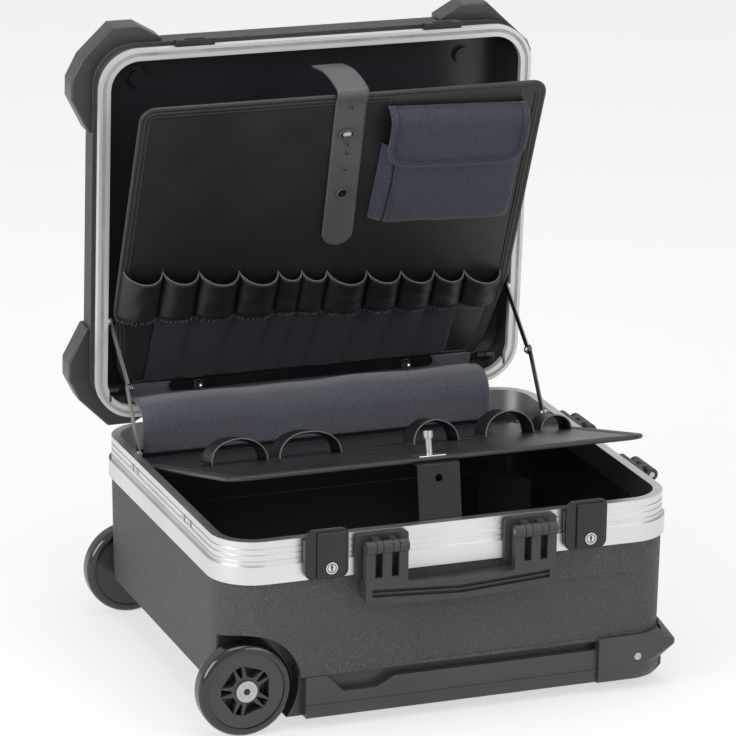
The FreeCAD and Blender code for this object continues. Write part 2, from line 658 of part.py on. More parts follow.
# Base shell: a drafted tub with a lip for the band and two wheel arches
def make_base_shell():
    part = body("base_shell")
    outer = add(part, "XY", band_bottom, band_bottom + tray_height, rounded(case_width, case_depth, corner_radius))
    outer.setExpression("Length", (band_bottom - tray_height).text)
    outer.setExpression("TaperAngle", "0 - Sizes.shell_draft")
    outer.Reversed = True
    lip = ring_shape(
        case_width - (shell_wall - lip_width) * 2,
        case_depth - (shell_wall - lip_width) * 2,
        corner_radius - (shell_wall - lip_width),
        lip_width,
    )
    add(part, "XY", band_bottom - lip_height, band_bottom + lip_height, lip)
    inner_x = half_width - shell_wall
    inner_y = half_depth - shell_wall
    arch_top = axle_height + wheel_radius + wheel_gap + arch_wall
    inner = rounded(inner_x * 2, inner_y * 2, corner_radius - shell_wall)
    cut(part, "XY", arch_top, band_bottom + lip_height + overrun, inner)
    housing_x = wheel_back - wheel_radius - wheel_gap - arch_wall
    housing_y = half_depth - arch_depth - arch_wall
    low_inner_y = inner_y - overrun
    low_inner_x = inner_x - overrun
    steps = [
        (-low_inner_x, -housing_y), (-housing_x, -housing_y), (-housing_x, -low_inner_y),
        (low_inner_x - corner_radius, -low_inner_y), (low_inner_x, corner_radius - low_inner_y),
        (low_inner_x, low_inner_y - corner_radius), (low_inner_x - corner_radius, low_inner_y),
        (-housing_x, low_inner_y), (-housing_x, housing_y), (-low_inner_x, housing_y),
    ]
    floor_top = tray_height + floor_thickness
    cut(part, "XY", floor_top, arch_top, outline(steps))
    skirt_y = half_depth - arch_depth - arch_wall * 2
    skirt_out = half_width - overrun
    add(part, "XY", tray_height - skirt_drop, tray_height + floor_thickness,
        box(-skirt_out, -skirt_y, -(skirt_out - tray_wall), skirt_y))
    for side in (-1, 1):
        face = half_depth * side
        low, high = (face - panel_depth, face + overrun) if side > 0 else (face - overrun, face + panel_depth)
        cut(part, "XZ", low, high,
            box(-panel_left, tray_height + panel_margin, half_width, panel_top))
    cut_arches(part, overrun)
    return part


# Base band: grooved aluminium rim with a raised smooth strip, slotted over the shell's lip
def make_base_band():
    part = body("base_band")
    add(part, "XY", band_bottom, rim_height, ring_shape(case_width, case_depth, corner_radius, band_width))
    strip = ring_shape(
        case_width + strip_proud * 2, case_depth + strip_proud * 2, corner_radius + strip_proud, strip_proud
    )
    add(part, "XY", strip_bottom, band_bottom + strip_overlap, strip)
    slot_outer = shell_wall - lip_width - lip_gap
    slot = ring_shape(
        case_width - slot_outer * 2, case_depth - slot_outer * 2, corner_radius - slot_outer,
        lip_width + lip_gap * 2,
    )
    cut(part, "XY", band_bottom - overrun, band_bottom + lip_height + lip_gap, slot)
    for i in range(3):
        middle = rim_height - groove_first - groove_pitch * i
        groove = ring_shape(
            case_width + overrun * 2, case_depth + overrun * 2, corner_radius + overrun, groove_depth + overrun
        )
        cut(part, "XY", middle - groove_width / 2, middle + groove_width / 2, groove)
    return part


def make_base_rivets():
    """Rivet heads on the band's left side, and the stays' lower pins in their bosses."""
    part = body("base_rivets")
    height = rim_height - (groove_first + groove_pitch / 2)
    places = [case_depth * share for share in rivet_shares]
    heads = [disc(y, height, rivet_radius) for y in places]
    add(part, "YZ", -(half_width + rivet_proud), -half_width, *heads)
    boss_inner = stay_lower_side + stay_thickness + stay_gap / 2
    wall = half_width - band_width
    pivot = [stay_base_y, rim_height - stay_base_drop]
    add(part, "YZ", boss_inner, wall, disc(pivot[0], pivot[1], stay_boss_radius))
    add(part, "YZ", stay_lower_side, boss_inner, disc(pivot[0], pivot[1], stay_rivet_radius))
    add(part, "YZ", -wall, -boss_inner, disc(pivot[0], pivot[1], stay_boss_radius))
    add(part, "YZ", -boss_inner, -stay_lower_side, disc(pivot[0], pivot[1], stay_rivet_radius))
    return part


tray_left = half_width - overrun - tray_wall
tray_right = half_width - overrun * 3
tray_side = half_depth - tray_inset
tray_top = tray_height - touch_gap


def make_bottom_tray():
    """The hollow tray under the floor, with its rails, arches and trolley mouths."""
    part = body("bottom_tray")
    bevel_x = tray_left - bevel_run
    profile = [
        (-tray_left, tray_top), (-tray_left, bevel_height), (-bevel_x, zero),
        (tray_right - tray_chamfer, zero), (tray_right, tray_chamfer), (tray_right, tray_top),
    ]
    add(part, "XZ", -tray_side, tray_side, outline(profile))
    rail = [
        (-rail_end, zero), (seam_place, zero), (seam_place, rail_top),
        (-ramp_right, rail_top), (-dip_right, rail_low), (-dip_left, rail_low),
        (-ramp_left, rail_high), (-rail_end, rail_high),
    ]
    add(part, "XZ", -(tray_side + rail_proud), -tray_side, outline(rail))
    add(part, "XZ", tray_side, tray_side + rail_proud, outline(rail))
    ledge = box(-rail_end, ledge_low, seam_place, ledge_low + ledge_height)
    ledge_out = tray_side + rail_proud + ledge_proud
    add(part, "XZ", -ledge_out, -(tray_side + rail_proud), ledge)
    add(part, "XZ", tray_side + rail_proud, ledge_out, ledge)
    room_x = wheel_back - wheel_radius - wheel_gap - arch_wall
    room_y = tray_side - tray_wall
    housing_y = half_depth - arch_depth - arch_wall
    room = [
        (-bevel_x, -housing_y), (-room_x, -housing_y), (-room_x, -room_y), (tray_right - tray_wall, -room_y),
        (tray_right - tray_wall, room_y), (-room_x, room_y), (-room_x, housing_y), (-bevel_x, housing_y),
    ]
    cut(part, "XY", tray_wall, tray_top + overrun, outline(room))
    around = rounded(case_width + overrun * 2, case_depth + overrun * 2, corner_radius)
    cut(part, "XY", -overrun, pad_step, around, rounded(pad_length, pad_depth, pad_corner))
    cut_arches(part, overrun * 2)
    reach = tube_width / 2 - tube_step + side_gap
    rise = tube_height / 2 - tube_step + side_gap
    mouths = [
        box(side - reach, tube_centre - rise, side + reach, tube_centre + rise)
        for side in (tube_place, -tube_place)
    ]
    cut(part, "YZ", tray_right - tray_wall - overrun, tray_right + overrun, *mouths)
    axle_side = half_depth - arch_depth
    hole = disc(-wheel_back, axle_height, axle_radius + touch_gap)
    cut(part, "XZ", axle_side - arch_wall - overrun, axle_side + overrun, hole)
    cut(part, "XZ", -(axle_side + overrun), -(axle_side - arch_wall - overrun), hole)
    return part


def make_feet():
    part = body("tray_feet")
    feet = [disc(foot_x, foot_y, foot_radius), disc(foot_x, -foot_y, foot_radius)]
    add(part, "XY", -foot_height, pad_step, *feet)
    soften(part, "Chamfer", foot_height / 6, lambda edge: near(edge, 2, -foot_height))
    return part


def make_corner_cap(label, side):
    """A cap round a right-hand bottom corner, drawn out to a square tip above its foot."""
    grow = cap_thickness.value
    wide, deep, radius = case_width.value, case_depth.value, corner_radius.value
    top = cap_top.value
    fit = touch_gap.value * 2
    big_wide, big_deep, big_radius = wide + grow * 2, deep + grow * 2, radius + grow
    toe = tray_chamfer.value
    wall = hull([
        (big_wide - toe, big_deep - toe, big_radius - toe / 2, 0),
        (big_wide, big_deep, big_radius, toe),
        (big_wide, big_deep, big_radius, top - grow / 2),
        (big_wide - grow, big_deep - grow, big_radius - grow / 2, top),
    ])
    tip_radius = bumper_round.value
    bumper = hull([
        (big_wide, big_deep, big_radius, bumper_low.value),
        (big_wide, big_deep, tip_radius, bumper_flat_low.value),
        (big_wide, big_deep, tip_radius, bumper_flat_high.value),
        (big_wide, big_deep, big_radius, bumper_high.value),
    ])
    reach = wide + deep
    shape = wall.fuse(bumper)
    low_y = deep / 2 - cap_reach.value
    region = block(seam_place.value + fit, min(side * low_y, side * reach), 0,
                   reach, max(side * low_y, side * reach), reach)
    shape = shape.common(region)
    core = hull([(wide + fit, deep + fit, radius + fit / 2, tray_height.value),
                 (wide + fit, deep + fit, radius + fit / 2, reach)])
    shape = shape.cut(core)
    inner = case_depth.value / 2 - tray_inset.value + fit
    room = block(0, -inner, -grow, tray_right.value + fit, inner, tray_height.value + grow)
    shape = shape.cut(room)
    place = Vector(wide / 2 - screw_inset.value, side * (deep / 2 + grow + overrun.value), screw_height.value)
    depth = screw_recess.value + overrun.value
    way = Vector(0, -side, 0)
    recess = rod(place, way, screw_radius.value + side_gap.value, depth)
    return solid(label, shape.cut(recess).removeSplitter())


def make_cap_screws():
    part = body("cap_screws")
    x = half_width - screw_inset
    deep = half_depth + cap_thickness - screw_recess
    head = disc(x, screw_height, screw_radius)
    add(part, "XZ", deep, deep + screw_recess - touch_gap, head)
    add(part, "XZ", -(deep + screw_recess - touch_gap), -deep, head)
    slot = box(x - screw_radius * slot_share, screw_height - groove_width / 2,
               x + screw_radius * slot_share, screw_height + groove_width / 2)
    out = deep + screw_recess
    cut(part, "XZ", out - groove_depth, out, slot)
    cut(part, "XZ", -out, -(out - groove_depth), slot)
    return part


# Locks on the front: a fixed body, a flap that lifts from below and a key cylinder in it
def make_lock(side_name, side):
    centre = lock_place * side
    body_out = front_strip + lock_proud
    top = rim_height + lock_rise
    part = body("lock_body_" + side_name)
    left, right = centre - lock_width / 2, centre + lock_width / 2
    face = front_strip + touch_gap
    add(part, "XZ", -body_out, -face, box(left, lock_bottom, right, top))
    soften(part, "Fillet", lock_round, lambda edge: along(edge, 1))
    add(part, "XZ", -(face + touch_gap), -(half_depth + touch_gap),
        box(left + lock_round, band_bottom + strip_overlap + touch_gap, right - lock_round, rim_height))
    room_top = top + overrun
    cut(part, "XZ", -(body_out - hasp_thickness), -(half_depth - overrun),
        box(left - overrun, rim_height, right + overrun, room_top))
    flap_x = centre + flap_shift
    flap = body("lock_flap_" + side_name)
    flap_in = body_out + pin_gap * 2
    flap_out = flap_in + flap_thickness
    shape = box(flap_x - flap_width / 2, flap_bottom, flap_x + flap_width / 2, flap_top)
    add(flap, "XZ", -flap_out, -flap_in, shape)
    cut(flap, "XZ", -(flap_out + overrun), -(flap_in - overrun), disc(flap_x, key_height, key_radius + pin_gap))
    soften(flap, "Chamfer", flap_thickness / 4, lambda edge: near(edge, 1, -flap_out))
    key = body("key_cylinder_" + side_name)
    add(key, "XZ", -(flap_out + key_proud), -flap_in, disc(flap_x, key_height, key_radius))
    cut(key, "XZ", -(flap_out + key_proud + overrun), -(flap_out - key_proud),
        box(flap_x - keyway_width / 2, key_height - keyway_length / 2,
            flap_x + keyway_width / 2, key_height + keyway_length / 2))
    return part


# Carrying handles: two brackets with hooks, a handle with ears and a pin through each set
def handle_parts(brackets_label, handle_label, pose):
    pin_y = front_strip + handle_proud
    plate_in = front_strip + touch_gap
    plate_out = plate_in + bracket_thickness
    brackets = body(brackets_label)
    centres = [bracket_place, -bracket_place]
    plates = [box(c - bracket_width / 2, bracket_bottom, c + bracket_width / 2, bracket_top) for c in centres]
    add(brackets, "XZ", -plate_out, -plate_in, *plates)
    soften(brackets, "Fillet", bracket_thickness, lambda edge: along(edge, 1))
    rear = half_depth + touch_gap
    packing_low = band_bottom + strip_overlap + touch_gap
    packings = [box(c - bracket_width / 2 + bracket_thickness, packing_low,
                    c + bracket_width / 2 - bracket_thickness, bracket_top - bracket_thickness) for c in centres]
    add(brackets, "XZ", -(plate_in + touch_gap), -rear, *packings)
    hooks = [(c + ear_pitch / 2 * way - hook_width / 2, c + ear_pitch / 2 * way + hook_width / 2)
             for c in centres for way in (1, -1)]
    web = box(-pin_y, pin_height, -(plate_out - touch_gap), pin_height + ear_radius)
    for low, high in hooks:
        add(brackets, "YZ", low, high, disc(-pin_y, pin_height, ear_radius))
        add(brackets, "YZ", low, high, web)
    span = bracket_place + ear_pitch + ear_width
    bore = disc(-pin_y, pin_height, handle_pin_radius + pin_gap)
    cut(brackets, "YZ", -span, span, bore)
    handle = body(handle_label)
    front = pin_y + arm_thickness * arm_front_share
    arm_half = ear_pitch + ear_width / 2
    out_x = bracket_place + arm_half
    in_x = bracket_place - arm_half
    lift = grip_end - grip_middle
    bow = [
        (-out_x, grip_end), (-out_x * half, grip_end - lift * bow_share), (zero, grip_middle),
        (out_x * half, grip_end - lift * bow_share), (out_x, grip_end), (out_x, grip_top),
        (out_x * half, grip_top - lift * bow_share), (zero, grip_top - lift),
        (-out_x * half, grip_top - lift * bow_share), (-out_x, grip_top),
    ]
    add(handle, "XZ", -front, -(front - grip_thickness), outline(bow))
    arms = [box(in_x, grip_top - lift, out_x, arm_top), box(-out_x, grip_top - lift, -in_x, arm_top)]
    add(handle, "XZ", -front, -(front - arm_thickness), *arms)
    soften(handle, "Fillet", grip_round, lambda edge: along(edge, 1) and near(edge, 2, grip_end))
    ears = [(c + ear_pitch * way - ear_width / 2, c + ear_pitch * way + ear_width / 2)
            for c in centres for way in (1, 0, -1)]
    neck = box(-front, arm_top - touch_gap, -(front - arm_thickness), pin_height)
    for low, high in ears:
        add(handle, "YZ", low, high, disc(-pin_y, pin_height, ear_radius))
        add(handle, "YZ", low, high, neck)
    cut(handle, "YZ", -span, span, bore)
    slot_half = slot_length / 2
    for i in (0, 1):
        middle = grip_end + slot_pitch * (first_slot_share + i)
        cut(handle, "XZ", -(front + overrun), -(front - slot_depth), outline([
            (-slot_half, middle - slot_height / 2), (zero, middle - slot_height / 2 - lift),
            (slot_half, middle - slot_height / 2), (slot_half, middle + slot_height / 2),
            (zero, middle + slot_height / 2 - lift), (-slot_half, middle + slot_height / 2)]))
    for item in (brackets, handle):
        item.Placement = pose


def make_handle_pins():
    """A pin through each set of ears, two at the front and two at the right side."""
    pins = body("handle_pins")
    pin_half = ear_pitch + ear_width / 2
    front_y = front_strip + handle_proud
    side_x = half_width + strip_proud + handle_proud
    for c in (bracket_place, -bracket_place):
        add(pins, "YZ", c - pin_half, c + pin_half, disc(-front_y, pin_height, handle_pin_radius))
        add(pins, "XZ", c - pin_half, c + pin_half, disc(side_x, pin_height, handle_pin_radius))


# Wheels: a solid tyre, a hub with spokes and a fixed axle
def make_wheel(side_name, side):
    pose = Placement(Vector(-wheel_back.value, 0, axle_height.value), Rotation())
    near_y = half_depth - wheel_inset - wheel_width
    far_y = half_depth - wheel_inset

    def span(low, high):
        return (low, high) if side > 0 else (-high, -low)

    tyre = body("wheel_%s_tyre" % side_name)
    add(tyre, "XZ", *span(near_y, far_y), disc(zero, zero, wheel_radius))
    soften(tyre, "Fillet", tyre_round, lambda edge: True)
    cut(tyre, "XZ", *span(near_y - overrun, far_y + overrun), disc(zero, zero, hub_radius))
    hub = body("wheel_%s_hub" % side_name)
    add(hub, "XZ", *span(near_y + hub_inset, far_y - hub_inset), disc(zero, zero, hub_radius))
    cut(hub, "XZ", *span(near_y - overrun, far_y + overrun), disc(zero, zero, axle_radius + pin_gap))
    gaps = []
    for i in range(5):
        for turn, spread in spoke_gaps:
            middle = math.radians(72 * i + turn)
            wide = math.radians(spread)
            gaps.append(outline([
                (radius * math.cos(angle), radius * math.sin(angle)) for radius, angle in (
                    (spoke_root, middle - wide * half), (spoke_radius, middle - wide),
                    (spoke_radius, middle + wide), (spoke_root, middle + wide * half))]))
    face = far_y - hub_inset
    cut(hub, "XZ", *span(face - wheel_width * spoke_depth_share, far_y + overrun), *gaps)
    for item in (tyre, hub):
        item.Placement = pose


def make_axles():
    """The two fixed axles with a washer head outside and a collar inside each wheel."""
    part = body("wheel_axles")
    near_y = half_depth - wheel_inset - wheel_width + hub_inset - touch_gap * 2
    far_y = half_depth - wheel_inset - hub_inset + touch_gap * 2
    inner = half_depth - arch_depth - arch_wall
    bar = disc(-wheel_back, axle_height, axle_radius)
    head = disc(-wheel_back, axle_height, axle_head_radius)
    collar = disc(-wheel_back, axle_height, axle_head_radius * collar_share)
    for low, high, shape in ((inner, far_y + axle_head_height, bar), (far_y, far_y + axle_head_height, head),
                             (near_y - axle_head_height, near_y, collar)):
        add(part, "XZ", low, high, shape)
        add(part, "XZ", -high, -low, shape)


# Trolley handle: three telescoping stages on each side, a grip and its release button
def tube_pair(label, stage, end):
    part = body(label)
    wide = tube_width - tube_step * (2 * stage)
    tall = tube_height - tube_step * (2 * stage)
    start = -(tube_start - stage_step * stage)
    outer = [box(y - wide / 2, tube_centre - tall / 2, y + wide / 2, tube_centre + tall / 2)
             for y in (tube_place, -tube_place)]
    add(part, "YZ", start, end, *outer)
    if stage < 2:
        wall = tube_wall * 2
        inner = [box(y - (wide - wall) / 2, tube_centre - (tall - wall) / 2,
                     y + (wide - wall) / 2, tube_centre + (tall - wall) / 2)
                 for y in (tube_place, -tube_place)]
        cut(part, "YZ", start - overrun, end + overrun, *inner)
    return part


def make_trolley():
    wall_face = tray_right - tray_wall
    tube_pair("trolley_outer_tubes", 0, wall_face - touch_gap)
    tube_pair("trolley_mid_tubes", 1, wall_face + tray_wall / 2)
    tube_pair("trolley_inner_tubes", 2, tray_right)
    grip = body("trolley_grip")
    near_x = tray_right + touch_gap
    far_x = near_x + trolley_grip_depth
    tall = trolley_grip_height / 2
    shape = box(-(trolley_grip_width / 2), tube_centre - tall, trolley_grip_width / 2, tube_centre + tall)
    add(grip, "YZ", near_x, far_x, shape)
    soften(grip, "Fillet", trolley_grip_round, lambda edge: near(edge, 0, far_x))
    room = box(-(button_width / 2 + side_gap), tube_centre - button_height / 2 - side_gap,
               button_width / 2 + side_gap, tube_centre + button_height / 2 + side_gap)
    back = far_x + button_proud - button_depth
    cut(grip, "YZ", back - button_proud - side_gap, far_x + overrun, room)
    button = body("trolley_button")
    shape = box(-(button_width / 2), tube_centre - button_height / 2, button_width / 2, tube_centre + button_height / 2)
    add(button, "YZ", back, far_x + button_proud, shape)
    soften(button, "Chamfer", button_proud / 4, lambda edge: near(edge, 0, far_x + button_proud))


# Lid: an aluminium band with a seal, a shell with a recessed neck and two screwed corner caps
def make_lid_shell():
    wide, deep, radius = case_width.value, case_depth.value, corner_radius.value
    inset = neck_inset.value
    bevel = lid_bevel_run.value
    neck = hull([
        (wide - 2 * inset, deep - 2 * inset, radius - inset, neck_bottom.value),
        (wide - 2 * inset, deep - 2 * inset, radius - inset, side_bottom.value),
    ])
    outer = hull([
        (wide, deep, radius, side_bottom.value),
        (wide, deep, radius, bevel_bottom.value),
        (wide - 2 * bevel, deep - 2 * bevel, radius - bevel, lid_top.value),
    ])
    wall = lid_shell_inset.value
    roof = lid_top.value - lid_wall.value
    inner = hull([
        (wide - 2 * wall, deep - 2 * wall, radius - wall, neck_bottom.value - overrun.value),
        (wide - 2 * wall, deep - 2 * wall, radius - wall, bevel_bottom.value),
        (wide - 2 * wall - 2 * bevel, deep - 2 * wall - 2 * bevel, radius - wall - bevel, roof),
    ])
    shape = neck.fuse(outer).cut(inner)
    for side in (-1, 1):
        place = Vector(side * boss_x.value, -boss_y.value, roof - boss_height.value)
        shape = shape.fuse(rod(place, Vector(0, 0, 1), boss_radius.value, boss_height.value + lid_wall.value * half))
    bore_length = upper_pin_side.value + touch_gap.value - upper_lug_side.value
    for way in (-1, 1):
        place = Vector(way * upper_lug_side.value, upper_pivot_y, upper_pivot_z)
        shape = shape.cut(rod(place, Vector(way, 0, 0), pivot_pin_radius.value + pin_gap.value, bore_length))
    return solid("lid_shell", shape.removeSplitter(), lid_pose)


def stay_slots():
    """Slots in the band's rear corners that the stays' upper links pass through as the lid closes."""
    pin, knuckle = [[place.value for place in places] for places in (stay_lid, stay_knuckle)]
    end = fixed(closed_place(*pin)[0] + math.dist(pin, knuckle)) + stay_boss_radius + stay_gap * 2
    front = half_depth - corner_radius
    inner, outer = stay_upper_side - stay_gap * 3, stay_upper_side + stay_thickness + stay_gap
    return [box(inner, front, outer, end), box(-outer, front, -inner, end)]


def make_lid_band():
    part = body("lid_band")
    add(part, "XY", lid_bottom, neck_bottom - touch_gap,
        ring_shape(case_width, case_depth, corner_radius, lid_band_width))
    inset = seal_inset - side_gap
    cut(part, "XY", lid_bottom - overrun, lid_bottom + seal_height + side_gap,
        ring_shape(case_width - inset * 2, case_depth - inset * 2, corner_radius - inset, seal_width + side_gap * 2))
    slots = stay_slots()
    cut(part, "XY", lid_bottom - overrun, neck_bottom + overrun, *slots)
    middle = lid_bottom + lid_band_height / 2
    cut(part, "XY", middle - lid_groove_width / 2, middle + lid_groove_width / 2, ring_shape(
        case_width + overrun * 2, case_depth + overrun * 2, corner_radius + overrun, groove_depth + overrun))
    part.Placement = lid_pose
    seal = body("lid_seal")
    add(seal, "XY", lid_bottom + side_gap, lid_bottom + side_gap + seal_height - touch_gap, ring_shape(
        case_width - seal_inset * 2, case_depth - seal_inset * 2, corner_radius - seal_inset, seal_width))
    cut(seal, "XY", lid_bottom - overrun, neck_bottom + overrun, *slots)
    seal.Placement = lid_pose


def make_lid_caps(label, side):
    """The caps round the lid's two front or rear corners."""
    thick = lid_cap_thickness.value
    left = lid_cap(side, 0, lid_cap_tip.value, thick * 3, thick * 4)
    right = lid_cap(side, right_horn_shift.value, right_cap_tip.value, thick * 2, thick * 8)
    return solid(label, Part.makeCompound([left, right.mirror(Vector(), Vector(1, 0, 0))]), lid_pose)


def lid_cap(side, shift, tip, corner_out, corner_back):
    """A cap on the left, with a tip to the left and a horn to the front or rear."""
    wide, deep = half_width.value, half_depth.value
    thick, fit = lid_cap_thickness.value, touch_gap.value * 2
    horn = deep + horn_proud.value
    points = [
        (-(lid_cap_reach.value - shift), deep + thick), (-(horn_far.value - shift), horn),
        (-(horn_near.value - shift), horn), (-(wide + corner_out), deep - corner_back),
        (-(wide + tip), tip_near.value), (-(wide + tip), tip_far.value),
        (-(wide + thick), lid_cap_side.value), (-(wide - corner_radius.value), lid_cap_side.value),
        (-(lid_cap_reach.value - shift), deep - corner_radius.value),
    ]
    base = polygon_face([Vector(x, side * y, 0) for x, y in points])
    low = side_bottom.value + lid_cap_low.value
    base.translate(Vector(0, 0, low))
    cap = base.extrude(Vector(0, 0, lid_top.value - lid_bevel_height.value * half - low))
    inner = hull([
        (case_width.value + 2 * fit, case_depth.value + 2 * fit, corner_radius.value + fit, low - thick),
        (case_width.value + 2 * fit, case_depth.value + 2 * fit, corner_radius.value + fit, bevel_bottom.value),
        (case_width.value + 2 * fit - 2 * lid_bevel_run.value, case_depth.value + 2 * fit - 2 * lid_bevel_run.value,
         corner_radius.value + fit - lid_bevel_run.value, lid_top.value),
    ])
    cap = cap.cut(inner)
    picks = [edge for edge in cap.Edges if near(edge, 2, fixed(low)) or
             near(edge, 2, fixed(lid_top.value - lid_bevel_height.value * half))]
    outer = [edge for edge in picks if abs(edge.CenterOfMass.x) + abs(edge.CenterOfMass.y) >
             wide + deep - corner_radius.value * cap_edge_share or edge.BoundBox.XMin < -(wide + thick)]
    outer = [edge for edge in outer if edge.Curve.TypeId == "Part::GeomLine"]
    return cap.makeChamfer(thick * half, outer)


def make_catches():
    part = body("lid_catches")
    for side in (-1, 1):
        centre = lock_place * side
        face = half_depth + touch_gap
        low = lid_bottom + touch_gap
        shape = box(centre - catch_width / 2, low, centre + catch_width / 2, low + catch_height)
        add(part, "XZ", -(face + catch_proud), -face, shape)
    soften(part, "Fillet", catch_height / 4, lambda edge: along(edge, 1))
    for side in (-1, 1):
        centre = lock_place * side
        cut(part, "XZ", -(half_depth + catch_proud + overrun), -(half_depth + catch_proud * catch_share),
            box(centre - catch_width / 4, lid_bottom + catch_slot * half, centre + catch_width / 4,
                lid_bottom + catch_slot * 1.5))
    part.Placement = lid_pose
    return part


# Hinges behind the rim: leaves with knuckles in turn, and a pin in each
def make_hinges():
    step = knuckle_length + knuckle_space
    axis = disc(hinge_y, hinge_z, knuckle_radius)
    bore = disc(hinge_y, hinge_z, hinge_pin_radius + pin_gap)
    rear = half_depth + touch_gap
    out = rear + leaf_thickness
    base = body("hinge_base_leaves")
    lid = body("hinge_lid_leaves")
    pins = body("hinge_pins")
    leaf_half = step * 2.5
    for side in (-1, 1):
        centre = hinge_place * side
        add(base, "XZ", rear, out, box(centre - leaf_half, hinge_z - leaf_length * half, centre + leaf_half, hinge_z))
        add(lid, "XZ", rear, out, box(centre - leaf_half, lid_bottom, centre + leaf_half, lid_bottom + leaf_length))
        add(pins, "YZ", centre - leaf_half, centre + leaf_half, disc(hinge_y, hinge_z, hinge_pin_radius))
        for i in range(5):
            low = centre + step * (i - 2.5) + knuckle_space / 2
            high = low + knuckle_length
            part = base if i % 2 == 0 else lid
            add(part, "YZ", low, high, axis)
            if part is base:
                add(part, "YZ", low, high, box(rear, hinge_z - leaf_thickness, hinge_y, hinge_z))
            else:
                add(part, "YZ", low, high, outline([
                    (rear, lid_bottom), (hinge_y, hinge_z), (hinge_y + knuckle_radius, hinge_z),
                    (rear + leaf_thickness, lid_bottom + leaf_thickness * 2), (rear, lid_bottom + leaf_thickness * 2)]))
    far = half_width
    cut(base, "YZ", -far, far, bore)
    cut(lid, "YZ", -far, far, bore)
    lid.Placement = lid_pose


# Lid stays: two flat links on each side, folded into the lid when it closes
def link(label, a, b, low, high, bore_at_a):
    """A flat link between two places in the side view, with round ends."""
    part = body(label)
    add(part, "YZ", low, high, disc(a[0], a[1], stay_radius))
    add(part, "YZ", low, high, disc(b[0], b[1], stay_radius))
    run_y, run_z = b[0].value - a[0].value, b[1].value - a[1].value
    length = math.hypot(run_y, run_z)
    across_y, across_z = -run_z / length, run_y / length
    waist = stay_radius * waist_share
    add(part, "YZ", low, high, outline([
        (a[0] + waist * across_y, a[1] + waist * across_z), (b[0] + waist * across_y, b[1] + waist * across_z),
        (b[0] - waist * across_y, b[1] - waist * across_z), (a[0] - waist * across_y, a[1] - waist * across_z)]))
    if bore_at_a:
        cut(part, "YZ", low - overrun, high + overrun, disc(a[0], a[1], stay_rivet_radius + pin_gap))
    return part


def turned(point, centre, angle):
    """A place in the side view turned about a centre, as two sizes."""
    c, s = math.cos(angle), math.sin(angle)
    y = centre[0] + (point[0] - centre[0]) * c - (point[1] - centre[1]) * s
    z = centre[1] + (point[0] - centre[0]) * s + (point[1] - centre[1]) * c
    return y, z


hinge_place_yz = (hinge_y, hinge_z)
stay_base = (stay_base_y, rim_height - stay_base_drop)
stay_lid_closed = (stay_lid_y, rim_height + stay_lid_rise)
stay_lid = turned(stay_lid_closed, hinge_place_yz, -math.radians(open_angle.value))
stay_knuckle = (knuckle_y, rim_height + knuckle_rise)
stay_upper_side = stay_lower_side - stay_gap - stay_thickness


def make_stays():
    rivets = body("lid_rivets")
    wall = half_width - lid_band_width
    inner = stay_upper_side
    outer = stay_upper_side + stay_thickness + stay_gap / 2
    for name, side in (("left", -1), ("right", 1)):
        def span(low, high):
            return (low, high) if side > 0 else (-high, -low)
        lower = span(stay_lower_side, stay_lower_side + stay_thickness)
        upper = span(stay_upper_side, stay_upper_side + stay_thickness)
        link("stay_%s_lower" % name, stay_base, stay_knuckle, lower[0], lower[1], True)
        part = link("stay_%s_upper" % name, stay_lid, stay_knuckle, upper[0], upper[1], True)
        cap = span(stay_upper_side - stay_gap * 2, stay_upper_side)
        rim = disc(stay_knuckle[0], stay_knuckle[1], stay_rivet_radius * knuckle_cap_share)
        add(part, "YZ", cap[0], cap[1], rim)
        seat = span(outer, wall)
        pin = span(inner, outer)
        add(rivets, "YZ", seat[0], seat[1], disc(stay_lid[0], stay_lid[1], stay_boss_radius))
        add(rivets, "YZ", pin[0], pin[1], disc(stay_lid[0], stay_lid[1], stay_rivet_radius))


# Boards: the upper one hangs in the lid, the lower one is raised over the base
def closed_place(y, z):
    """Where a place of the open lid lies when the lid is closed."""
    angle = math.radians(open_angle.value)
    dy, dz = y - hinge_y.value, z - hinge_z.value
    return (hinge_y.value + dy * math.cos(angle) - dz * math.sin(angle),
            hinge_z.value + dy * math.sin(angle) + dz * math.cos(angle))


upper_pivot = (half_depth + upper_pivot_back, rim_height + upper_pivot_rise)
upper_pivot_y, upper_pivot_z = closed_place(upper_pivot[0].value, upper_pivot[1].value)
upper_pose = Placement(Vector(0, upper_pivot[0].value, upper_pivot[1].value),
                       Rotation(Vector(1, 0, 0), 90 + upper_lean.value))
lower_pivot = (half_depth - lower_pivot_inset, lower_pivot_height)
lower_pose = Placement(Vector(0, lower_pivot[0].value, lower_pivot[1].value),
                       Rotation(Vector(1, 0, 0), -lower_slope.value))


